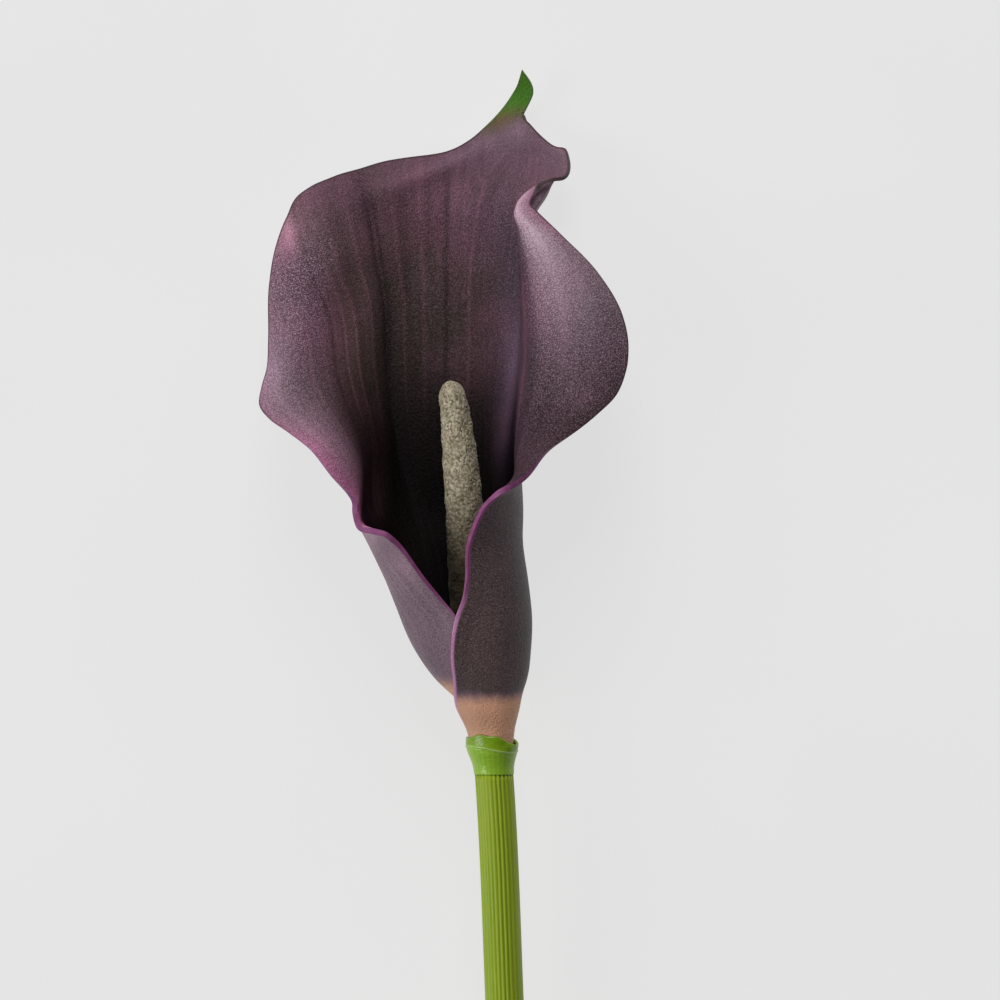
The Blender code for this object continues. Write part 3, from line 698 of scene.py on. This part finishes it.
def fold_depth(lanes, heights):
    """How far the soft folds lift the sheet along its normal."""
    depth = sum(d * bell(lanes, place, width) for place, width, d in FOLDS)
    return depth * between(heights[:, None], FOLDS_RISE, FOLDS_SINK)


def sheet_points(across, heights):
    """The middle of the spathe's sheet: a grid of points, rings by places across."""
    across = np.asarray(across, float)
    heights = np.asarray(heights, float)
    weights = spline_weights(len(GUIDES), across)
    points = np.einsum("ac,hcx->hax", weights, guide_points(heights))
    normals = np.cross(np.gradient(points, axis=1), np.gradient(points, axis=0))
    length = np.linalg.norm(normals, axis=2, keepdims=True)
    normals = normals / np.maximum(length, 1e-9)
    lift = fold_depth(fold_lanes(across, heights, points), heights)
    points += normals * lift[..., None]
    points[..., 2] = laid_flat(points[..., 2])
    return points


def edge_thinning(across, heights):
    """Share of the full thickness: 1 in the funnel, less along the margins of the open sheet."""
    u = across[None, :]
    h = heights[:, None]
    near_edge = 1 - ease(0.0, EDGE_BAND, u) * (1 - ease(1 - EDGE_BAND, 1.0, u))
    thin = 1 - SHEET_AT_EDGE / SHEET
    share = 1 - thin * np.maximum(near_edge * ease(*THIN_MARGINS, h), ease(*THIN_TIP, h))
    return share * sheet_thickness(h) / SHEET


# The sheet's mesh: columns across, rows in each stretch (from, to, how many), and the heights
# from which only every second, fourth and so on column is kept.
SHEET_COLUMNS = 168
SHEET_ROWS = ((SHEET_FOOT, 44.0, 70), (44.0, 104.0, 105), (104.0, SHEET_TOP, 76))
COARSER_AT = ((119.0, 2), (124.5, 4), (129.5, 8), (132.8, 24))

# The tip turns green across this slanting line: a point on it, its slope, and the width in mm.
GREEN_LINE = (-0.5, 121.6)
GREEN_SLOPE = 0.49
GREEN_FADE = (-2.4, 2.4)
# Heights between which the green goes from olive to leaf green.
LEAF_FADE = (123.6, 128.4)
# The unpainted tan foot: height of its edge on the left lap and on the right wall.
TAN_EDGE_LEFT, TAN_EDGE_RIGHT = 13.0, 9.8
TAN_FADE = 8
# Painted light and shade on the skin: place x, y, reach in x, in y, and stops up or down.
PAINTED_LIGHT_AND_SHADE = (
    (-29, 78, 8, 15, 1.6), (-25, 95, 3.5, 8, 0.6), (-11, 109, 11, 5, 0.6), (-16, 98, 8, 12, 0.35),
    (-40.5, 101, 3, 6, 1.7), (-36, 64, 10, 10, 0.35), (-43, 71, 3.5, 7, 0.6), (-38, 91, 6, 8, -0.45),
    (5.0, 72, 2.4, 12, 1.5), (2.2, 58, 3, 9, 2.1), (-23.4, 49, 2.4, 8, 2.8), (-5, 74, 8, 8, 0.35),
    (21, 82, 7, 9, -0.5), (12, 74, 5, 6, -0.2), (18, 67, 6, 3, 0.6), (10.6, 101, 3, 3, 0.35),
    (-22, 80, 3, 11, -1.0), (-19, 60, 3, 8, -1.6), (9.5, 64, 4, 6, -0.8), (-26, 108, 7, 4, -0.35),
    (4.8, 122.5, 3, 3, 0.7), (0.5, 119, 4, 3, 0.5), (-5, 115, 8, 3, 0.4), (6.5, 132, 2, 4, 0.5),
    (-1.5, 19, 5.6, 20, 1.3), (6.0, 38, 2.2, 14, -1.0), (-17, 36, 5, 6, 0.7), (-14, 13, 4, 4, -0.3),
    (3, 5, 2.5, 6, 0.35), (7.5, 106, 3, 4, 0.4), (15, 119, 4, 2.5, 0.4), (-3, 3.5, 3.5, 4.5, -0.4),
    (2.5, 12, 4, 4, 0.5),
)
# Tints laid over the aubergine, in the same terms: browner up the back, violet beside the right
# wing, and a pearly grey painted sheen on the left wing.
OLIVE_TINT = ((-21, 86, 8, 20, 0.45), (-8, 78, 6, 8, 0.35))
VIOLET_TINT = ((4.5, 82, 3.5, 20, 0.50), (0, 104, 6, 10, 0.25))
PAINTED_SHEEN_PATCHES = ((-44, 75, 4, 9, 0.55),)
# Fine lines along the folds: places across of the painted highlights on the crests and of the
# painted shade in the dips, and how wide they are.
PAINTED_CREST_HIGHLIGHTS = (0.10, 0.215, 0.25, 0.305, 0.40, 0.455, 0.57, 0.885, 0.925)
PAINTED_CREST_HIGHLIGHT_WIDTH = 0.0036
PAINTED_DIP_SHADES = (0.17, 0.345, 0.362, 0.51, 0.84)
PAINTED_DIP_SHADE_WIDTH = 0.0060


def to_rim(across, points):
    """Distance in mm from each point of the sheet to its nearer margin."""
    distance = np.empty(points.shape[:2])
    for side, columns in ((0, across < 0.5), (-1, across >= 0.5)):
        margin = points[:, side]
        rings = np.arange(len(margin))
        finer = np.linspace(0, len(margin) - 1, 8 * len(margin))
        line = np.stack([np.interp(finer, rings, margin[:, axis]) for axis in range(3)], axis=1)
        tree = kdtree.KDTree(len(line))
        for i, point in enumerate(line):
            tree.insert(point, i)
        tree.balance()
        for row in rings:
            for column in np.flatnonzero(columns):
                distance[row, column] = tree.find(points[row, column])[2]
    return distance


def soft_patches(patches, x, y):
    """The sum of soft oval patches laid over the sheet, each with its own strength."""
    return sum(strength * np.exp(-(((x - at_x) / reach_x) ** 2) - ((y - at_y) / reach_y) ** 2)
               for at_x, at_y, reach_x, reach_y, strength in patches)


def sheet_tones(across, heights, points):
    """Numbers stored on the sheet's points, which its finishes are mixed by."""
    u, h = np.meshgrid(across, heights)
    x, y = points[..., 0], points[..., 1]
    left, right = u < 0.5, u > 0.5
    rim = to_rim(across, points)
    lanes = fold_lanes(across, heights, points)
    near_tip = ease(100, 112, h)
    above_green_line = (y - GREEN_LINE[1]) - GREEN_SLOPE * (x - GREEN_LINE[0])
    tan_edge = TAN_EDGE_LEFT + (TAN_EDGE_RIGHT - TAN_EDGE_LEFT) * ease(0.1, 0.45, u)
    # Rosy: the pinched left margin, the left wing's rim above it, and the curl of the right wing.
    pinch = 1.1 * np.exp(-rim / 3.2) * between(h, (40, 47), (58, 80)) * left
    left_rim = 0.30 * np.exp(-rim / 3.0) * between(h, (56, 66), (92, 106)) * left
    curl = 0.55 * np.exp(-rim / 2.6) * between(h, (98, 106), (113, 117)) * right
    left_wing = (1 - ease(0.07, 0.21, u)) * (1 - ease(92, 108, h))
    right_wing = ease(0.87, 0.94, u) * (1 - ease(112, 118, h))
    # Painted highlights: the right wing's upper band and a low band on the left wing.
    right_painted_highlight = bell(u, 0.955, 0.032) * between(h, (70, 104), (112, 117))
    left_painted_highlight = 0.25 * bell(u, 0.03, 0.05) * between(h, (50, 60), (66, 84))
    lined = between(h, (56, 74), (106, 120))
    return {
        "green": ease(*GREEN_FADE, above_green_line) * ease(-4.0, 0.5, x) * near_tip,
        "leaf": ease(*LEAF_FADE, y) * near_tip,
        "tan": np.clip((tan_edge - h) / TAN_FADE + 0.5, 0, 1),
        "rosy": np.maximum(np.maximum(pinch, left_rim), curl).clip(0, 1),
        "wing": np.maximum(left_wing, right_wing) * ease(44, 64, h),
        # Dust that thickens upwards: real pearly dust, and partly painted light on the upper sheet.
        "dust_and_painted_light": ease(50, 98, h),
        "painted_highlight": right_painted_highlight + left_painted_highlight,
        "shade": bell(u, 0.885, 0.030) * between(h, (44, 60), (92, 104)),
        "flap": (1 - ease(0.30, 0.42, u)) * (1 - ease(60, 80, h)),
        # Painted light and shade in soft patches, as a factor on the colour.
        "painted_light_and_shade": 2 ** soft_patches(PAINTED_LIGHT_AND_SHADE, x, y),
        "olive": soft_patches(OLIVE_TINT, x, y),
        "violet": soft_patches(VIOLET_TINT, x, y),
        # A painted sheen on the left wing.
        "painted_sheen": soft_patches(PAINTED_SHEEN_PATCHES, x, y),
        # Painted highlights on the fold crests and painted shade in their dips.
        "painted_crest_highlight": sum(bell(lanes, place, PAINTED_CREST_HIGHLIGHT_WIDTH) for place in PAINTED_CREST_HIGHLIGHTS) * lined,
        "painted_dip_shade": sum(bell(lanes, place, PAINTED_DIP_SHADE_WIDTH) for place in PAINTED_DIP_SHADES) * lined,
        "lip": right * (1 - ease(66, 74, h)) * (0.18 + 0.82 * ease(4.5, 8.0, h)),
        "rim": rim,
        "across": lanes,
        "height": h,
    }


def narrow_to_tip(bm, grid, heights):
    """Join columns towards the tip, where the sheet grows too narrow for all of them."""
    targets = {}
    last = len(grid[0]) - 1
    for row, height in zip(grid, heights):
        step = max([1] + [s for start, s in COARSER_AT if height > start])
        for column in range(last + 1):
            home = min(step * round(column / step), last)
            if home != column:
                targets[row[column]] = row[home]
    for column in range(1, last + 1):
        targets[grid[-1][column]] = grid[-1][0]
    bmesh.ops.weld_verts(bm, targetmap=targets)


def spathe_mesh():
    stretches = [np.linspace(low, high, n, endpoint=False) for low, high, n in SHEET_ROWS]
    heights = np.concatenate(stretches + [[SHEET_TOP]])
    across = np.linspace(0, 1, SHEET_COLUMNS + 1)
    points = sheet_points(across, heights)
    tones = sheet_tones(across, heights, points)
    tones["thickness"] = edge_thinning(across, heights)
    places = on_table(points).reshape(-1, 3)
    bm = bmesh.new()
    bmesh.ops.create_grid(bm, x_segments=SHEET_COLUMNS, y_segments=len(heights) - 1, size=0.5)
    bm.verts.ensure_lookup_table()
    weight = bm.verts.layers.deform.verify()
    layers = {name: bm.verts.layers.float.new(name) for name in tones if name != "thickness"}
    for i, vertex in enumerate(bm.verts):
        vertex.co = places[i]
        vertex[weight][0] = float(tones["thickness"].flat[i])
        for name, layer in layers.items():
            vertex[layer] = float(tones[name].flat[i])
    grid = [bm.verts[i * len(across):(i + 1) * len(across)] for i in range(len(heights))]
    narrow_to_tip(bm, grid, heights)
    mesh = bpy.data.meshes.new("spathe")
    bm.to_mesh(mesh)
    bm.free()
    mesh.shade_smooth()
    return mesh


# Colours of the sheet. The near black throat, and the back wall and wings growing lighter
# upwards, are partly the flower's own colour and partly painted shade deep in the throat and
# painted light higher up.
THROAT_DEPTH, THROAT_LOW = (0.0016, 0.0008, 0.0004), (0.017, 0.0106, 0.0070)
BACK_WALL_MIDDLE, BACK_WALL_HIGH = (0.086, 0.048, 0.051), (0.142, 0.077, 0.096)
BACK_WALL_TOP = (0.180, 0.113, 0.148)
WING_LOW, WING_HIGH = (0.068, 0.038, 0.046), (0.135, 0.076, 0.096)
# Painted shade beside the right wing's crest, and the colour of the painted highlights.
WING_SHADE, WING_PAINTED_HIGHLIGHT = (0.040, 0.020, 0.030), (0.64, 0.46, 0.55)
# Olive brown and violet tints, and the grey of a painted sheen.
OLIVE_BROWN, VIOLET, PAINTED_SHEEN_GREY = (0.062, 0.052, 0.036), (0.084, 0.056, 0.102), (0.240, 0.200, 0.245)
# Streaks, and the colours of the painted highlights and painted shade along the folds.
STREAK, PAINTED_CREST_HIGHLIGHT_COLOUR, PAINTED_DIP_SHADE_COLOUR = (0.016, 0.010, 0.011), (0.300, 0.130, 0.185), (0.006, 0.004, 0.004)
TIP_LEAF = (0.065, 0.190, 0.018), (0.095, 0.260, 0.032)
TIP_OLIVE = (0.130, 0.108, 0.040), (0.185, 0.130, 0.062)
TAN = (0.480, 0.250, 0.157), (0.560, 0.306, 0.199)
TAN_EDGE_MAUVE = (0.200, 0.125, 0.170)
OUTSIDE_LOW, OUTSIDE_HIGH = (0.058, 0.038, 0.034), (0.062, 0.039, 0.040)
# Painted light up at the curl; the flap's greyer colour with a painted sheen.
OUTSIDE_TOP_PAINTED_LIGHT, OUTSIDE_FLAP_WITH_PAINTED_SHEEN = (0.460, 0.290, 0.370), (0.215, 0.140, 0.180)
LIP_PINK, LIP_MAGENTA = (0.68, 0.30, 0.56), (0.240, 0.056, 0.170)
TOP_LINE, TOP_LINE_GREEN = (0.060, 0.034, 0.038), (0.085, 0.170, 0.035)
RIM_MAGENTA = (0.215, 0.048, 0.150), (0.270, 0.070, 0.200)
RIM_LOW, RIM_TOP, RIM_FOOT = (0.72, 0.34, 0.60), (0.100, 0.060, 0.068), (0.500, 0.300, 0.230)


def dusted_satin(finish, ground, rosy, speck, rim_colour, rim_line, dust_and_painted_light_share):
    """Finish the skin of the sheet over its ground colour: streaks, painted highlights and shade
    along the folds, patches of painted light and shade, pearly dust that thickens upwards partly as
    painted light, the green tip, the tan foot and the line along the rim, with a fine leathery grain."""
    height = finish.tone("height")
    streaks = finish.noise(finish.pair(finish.tone("across"), finish.times(height, 0.0007)), 75, 5, 0.65)
    patchy = finish.step(streaks, 0.35, 0.65)
    clouds = finish.noise(finish.place(1, 1, 1), 60, 3)
    dust = finish.noise(finish.place(1, 1, 1), 3900, 2, 0.7)
    wisps = finish.noise(finish.place(1, 0.6, 1), 420, 4, 0.65)
    leather = finish.noise(finish.place(1, 1, 1), 1900, 2, 0.6)

    ground = finish.mix(finish.step(streaks, 0.36, 0.62, 0.0, 0.24), ground, STREAK)
    rosy_clouds = finish.step(clouds, 0.40, 0.70, 0.0, 0.14)
    ground = finish.mix(finish.times(rosy_clouds, finish.tone("dust_and_painted_light")), ground, rosy)
    # Painted highlights along the fold crests, painted shade along their dips.
    crest_highlight_share = finish.step(height, 62, 96, 0.10, 0.28)
    ground = finish.mix(finish.times(finish.tone("painted_crest_highlight"), crest_highlight_share), ground, PAINTED_CREST_HIGHLIGHT_COLOUR)
    ground = finish.mix(finish.times(finish.tone("painted_dip_shade"), 0.55), ground, PAINTED_DIP_SHADE_COLOUR)
    ground = finish.mix(finish.tone("rosy"), ground, rosy)
    # Painted light and shade laid over the ground in soft patches.
    ground = finish.scaled(ground, finish.tone("painted_light_and_shade"))

    grain = finish.step(dust, 0.36, 0.60, -0.36, 0.24)
    grain = finish.times(grain, finish.step(height, 104, 116, 1, 0.3))
    ground = finish.scaled(ground, finish.plus(grain, 1.0))
    # Pearly specks, by a share that in the throat's skin also carries painted light up the sheet.
    ground = finish.mix(finish.times(finish.step(dust, 0.50, 0.64), dust_and_painted_light_share), ground, speck)

    tip = finish.mix(finish.tone("leaf"), finish.mix(patchy, *TIP_OLIVE), finish.mix(patchy, *TIP_LEAF))
    ground = finish.mix(finish.tone("green"), ground, tip)
    edge = finish.plus(finish.tone("tan"), finish.times(wisps, 0.25))
    # The tan foot takes the same painted light and shade.
    tan = finish.scaled(finish.mix(finish.step(clouds, 0.35, 0.65), *TAN), finish.tone("painted_light_and_shade"))
    ground = finish.mix(finish.step(edge, 0.46, 0.80), ground, TAN_EDGE_MAUVE)
    ground = finish.mix(finish.step(edge, 0.58, 1.00), ground, tan)
    finish.colour(finish.mix(rim_line, ground, rim_colour))
    finish.roughness(finish.step(dust, 0.3, 0.7, 0.38, 0.62))
    finish.bumps(finish.plus(finish.times(dust, 0.6), leather), 0.00022)
    return finish.material


def throat_skin():
    """The face one looks into: near black in the throat and lighter up the back and wings, partly
    its own colour and partly painted shade and light; browner up the back, rosy on the wings, with
    painted shade beside the right wing's crest, painted highlights on the wings and a dark line
    along the top margin."""
    finish = Finish("aubergine satin throat", roughness=0.45, specular=0.10)
    height = finish.tone("height")
    # Near black deep in the throat and lighter up the back: own colour and painted shade.
    wall = finish.mix(finish.step(height, 56, 80), THROAT_DEPTH, THROAT_LOW)
    wall = finish.mix(finish.step(height, 66, 96), wall, BACK_WALL_MIDDLE)
    wall = finish.mix(finish.step(height, 90, 114), wall, BACK_WALL_HIGH)
    wall = finish.mix(finish.step(height, 112, 122), wall, BACK_WALL_TOP)
    # Wings lighter upwards: own colour and painted light.
    wing = finish.mix(finish.step(height, 66, 98), WING_LOW, WING_HIGH)
    ground = finish.mix(finish.tone("wing"), wall, wing)
    ground = finish.mix(finish.tone("olive"), ground, OLIVE_BROWN)
    ground = finish.mix(finish.tone("violet"), ground, VIOLET)
    # A painted sheen on the left wing.
    ground = finish.mix(finish.tone("painted_sheen"), ground, PAINTED_SHEEN_GREY)
    # Painted shade beside the right wing's crest.
    ground = finish.mix(finish.times(finish.tone("shade"), 0.75), ground, WING_SHADE)
    # Painted highlights on the wings.
    ground = finish.mix(finish.times(finish.tone("painted_highlight"), 0.90), ground, WING_PAINTED_HIGHLIGHT)
    # More dust up the sheet and on the wings: real dust and painted light.
    dust_and_painted_light = finish.times(finish.tone("dust_and_painted_light"), finish.step(finish.tone("wing"), 0, 1, 0.12, 0.55))
    top_line = finish.step(finish.tone("rim"), 0.15, 0.50, 1, 0)
    return dusted_satin(finish, ground, rosy=(0.440, 0.150, 0.280), speck=(0.62, 0.47, 0.57),
                        rim_colour=finish.mix(finish.tone("green"), TOP_LINE, TOP_LINE_GREEN),
                        rim_line=finish.times(top_line, finish.step(height, 66, 80, 0, 0.8)),
                        dust_and_painted_light_share=dust_and_painted_light)


def back_skin():
    """The outer face: a browner aubergine, greyer and paler on the left flap with a painted sheen,
    and paler up at the curl with painted light, under the same dust; a pink line runs down the
    lapping edge."""
    finish = Finish("aubergine satin back", roughness=0.45, specular=0.26, sheen=0.02,
                    sheen_tint=(0.80, 0.74, 0.80))
    height = finish.tone("height")
    ground = finish.mix(finish.step(height, 14, 60), OUTSIDE_LOW, OUTSIDE_HIGH)
    # Painted light up at the curl, where the outer face lies in shade.
    ground = finish.mix(finish.step(height, 90, 104), ground, OUTSIDE_TOP_PAINTED_LIGHT)
    # The left flap: greyer in its own colour, and paler with a painted sheen.
    ground = finish.mix(finish.tone("flap"), ground, OUTSIDE_FLAP_WITH_PAINTED_SHEEN)
    lip_line = finish.times(finish.step(finish.tone("rim"), 0.35, 0.85, 1, 0), finish.tone("lip"))
    return dusted_satin(finish, ground, rosy=(0.120, 0.070, 0.100), speck=(0.36, 0.24, 0.33),
                        rim_colour=finish.mix(finish.step(height, 22, 31), LIP_PINK, LIP_MAGENTA),
                        rim_line=lip_line, dust_and_painted_light_share=0.34)


def cut_rim():
    """The sheet's cut rim: magenta foam round the mouth, dark along the top, tan at the foot."""
    finish = Finish("magenta cut rim", roughness=0.55, specular=0.35, sheen=0.2)
    height = finish.tone("height")
    clouds = finish.noise(finish.place(1, 1, 1), 700, 2)
    magenta = finish.mix(finish.step(clouds, 0.35, 0.65), *RIM_MAGENTA)
    upper = finish.mix(finish.step(height, 66, 84), magenta, RIM_TOP)
    tip = finish.mix(finish.tone("green"), upper, TOP_LINE_GREEN)
    low = finish.mix(finish.step(height, 18, 30, 1.0, 0.0), tip, RIM_LOW)
    finish.colour(finish.mix(finish.step(height, 3.5, 7.5, 1.0, 0.0), low, RIM_FOOT))
    finish.bumps(finish.noise(finish.place(1, 1, 1), 3000, 2), 0.00008)
    return finish.material


spathe = place_piece("rolled_spathe", spathe_mesh(), "spathe", [throat_skin(), back_skin(), cut_rim()])
spathe.vertex_groups.new(name="thickness")
shell = spathe.modifiers.new("Thickness", "SOLIDIFY")
shell.thickness = SHEET * MM
shell.offset = 0
shell.vertex_group = "thickness"
shell.material_offset = 1
shell.material_offset_rim = 2
rounded = spathe.modifiers.new("Rounded rim", "BEVEL")
rounded.width = RIM_ROUNDING * MM
rounded.segments = 2
rounded.limit_method = "ANGLE"
rounded.angle_limit = math.radians(RIM_ANGLE)


# ---- collar ----
# A strip of stretchy green floral tape wound over the joint: a thick rolled band round the
# spathe's foot, and a thinner film below it that the stalk's ribs show through.
COLLAR_LOW_Y = -6.8
COLLAR_HIGH_Y = 0.4
COLLAR_SECTION_POINTS = 96
COLLAR_OUTSIDE_POINTS = 68
COLLAR_SIDES = 224
# The tape's section as radius and height: over its top edge, down the outside, back up inside.
COLLAR_SECTION = (
    (4.60, -0.6), (4.54, 0.05), (4.66, 0.34), (4.88, 0.42), (5.10, 0.30), (5.16, -0.10),
    (5.18, -0.8), (5.16, -1.5), (5.10, -2.1), (4.98, -2.6), (4.84, -3.1), (4.66, -3.6),
    (4.46, -4.2), (4.26, -4.9), (4.12, -5.6), (4.04, -6.3), (4.01, -6.8), (3.96, -7.00),
    (3.89, -6.96), (3.88, -6.4), (3.70, -5.6), (3.62, -2.9), (4.20, -2.7), (4.64, -1.8),
)
# Relief is raised on the outside alone, and fades in from the thin lower edge by these radii.
OUTSIDE_RADII = (3.93, 4.02)
# Waves of the upper edge: how many round it, height, shift. Below this share of the tape's
# height there are none.
COLLAR_WAVES = ((2, 0.32, 0.6), (5, 0.22, 1.9), (9, 0.07, 0.4))
WAVES_FROM = 0.62
# Places round the front are degrees to the right of its middle: the upper edge's dip and crest,
# and the bulge of the rolled band (middle, reach, size), which has its own height and width.
DIP_AT, DIP_LEFT_REACH, DIP_RIGHT_REACH, DIP_DEPTH = 48, 20, 95, 1.1
CREST_AT, CREST_REACH, CREST_HEIGHT = 8, 24, 0.35
ROLL_AT, ROLL_REACH, ROLL_SIZE = 72, 24, 0.30
ROLL_Y, ROLL_WIDTH = -0.9, 0.8
# The wrapped edge where the band ends over the film: height, slant, relief and its width, then
# the degrees in which it turns and fades, and how far below and above it film turns to band.
FOLD_Y, FOLD_SLANT, FOLD_RELIEF, FOLD_WIDTH = -2.0, 0.75, 0.13, 0.16
FOLD_TURN, FOLD_FADE = 35, 110
FILM_EDGE = (-0.35, 0.15)
CREASE_SIZE = 0.035
TAPE_GREEN = (0.175, 0.320, 0.003), (0.235, 0.400, 0.008)
FILM_GREEN = (0.265, 0.470, 0.018), (0.300, 0.530, 0.035)
# The colour of a painted highlight along the ridge of the wrapped edge.
PAINTED_RIDGE_HIGHLIGHT = (0.50, 0.68, 0.26)


def collar_mesh():
    count = len(COLLAR_SECTION)
    keys = np.arange(-3, count + 4)
    places = np.linspace(0, count, COLLAR_SECTION_POINTS, endpoint=False)
    section = through(keys, [COLLAR_SECTION[k % count] for k in keys], places)
    angle = np.linspace(0, 2 * math.pi, COLLAR_SIDES, endpoint=False)[None, :]
    front = 180 - np.degrees(angle)
    radius, height = section[:, :1], section[:, 1:]
    on_outside = np.arange(len(section)) < COLLAR_OUTSIDE_POINTS
    outside = ease(*OUTSIDE_RADII, radius) * on_outside[:, None]

    wave = sum(size * np.sin(n * angle + shift) for n, size, shift in COLLAR_WAVES)
    dip_reach = np.where(front < DIP_AT, DIP_LEFT_REACH, DIP_RIGHT_REACH)
    wave = wave - DIP_DEPTH * bell(front, DIP_AT, dip_reach)
    wave = wave + CREST_HEIGHT * bell(front, CREST_AT, CREST_REACH)
    share = (height - COLLAR_LOW_Y) / (COLLAR_HIGH_Y - COLLAR_LOW_Y)
    height = height + wave * ((share - WAVES_FROM) / (1 - WAVES_FROM)).clip(0)

    fold_fade = np.exp(-((np.abs(front) / FOLD_FADE) ** 4))
    fold_line = FOLD_Y - FOLD_SLANT * np.tanh(front / FOLD_TURN) * fold_fade
    film = 1 - ease(*FILM_EDGE, height - fold_line)
    ridge = bell(height, fold_line, FOLD_WIDTH)
    roll = ROLL_SIZE * bell(front, ROLL_AT, ROLL_REACH) * bell(height, ROLL_Y, ROLL_WIDTH)
    creases = CREASE_SIZE * np.sin(5 * angle + 2 * height) * (1 - film)
    reach = radius + (FOLD_RELIEF * ridge + roll + creases) * outside
    rings = np.stack([reach, height, np.broadcast_to(angle, height.shape)], axis=2)
    points = np.concatenate([around_stem(np.array([y]), r, turn) for r, y, turn in rings.reshape(-1, 3)])
    mesh = ringed_mesh("collar", on_table(points.reshape(*rings.shape)), looped=True)
    give_tone(mesh, "film", np.broadcast_to(film, height.shape))
    give_tone(mesh, "ridge", ridge)
    give_tone(mesh, "rib", np.broadcast_to(rib_height(angle), height.shape))
    return mesh


def floral_tape():
    finish = Finish("glossy green floral tape", roughness=0.36, specular=0.40, coat=0.15)
    clouds = finish.noise(finish.place(1, 1, 1), 420, 3)
    band = finish.mix(finish.step(clouds, 0.35, 0.65), *TAPE_GREEN)
    film = finish.mix(finish.tone("rib"), *FILM_GREEN)
    tape = finish.mix(finish.tone("film"), band, film)
    # A painted highlight along the wrapped edge's ridge.
    finish.colour(finish.mix(finish.times(finish.tone("ridge"), 0.65), tape, PAINTED_RIDGE_HIGHLIGHT))
    finish.roughness(finish.step(clouds, 0.3, 0.7, 0.30, 0.44))
    finish.bumps(finish.noise(finish.place(1, 2.5, 1), 900, 3), 0.00012)
    return finish.material


place_piece("wound_collar", collar_mesh(), "collar", [floral_tape()])
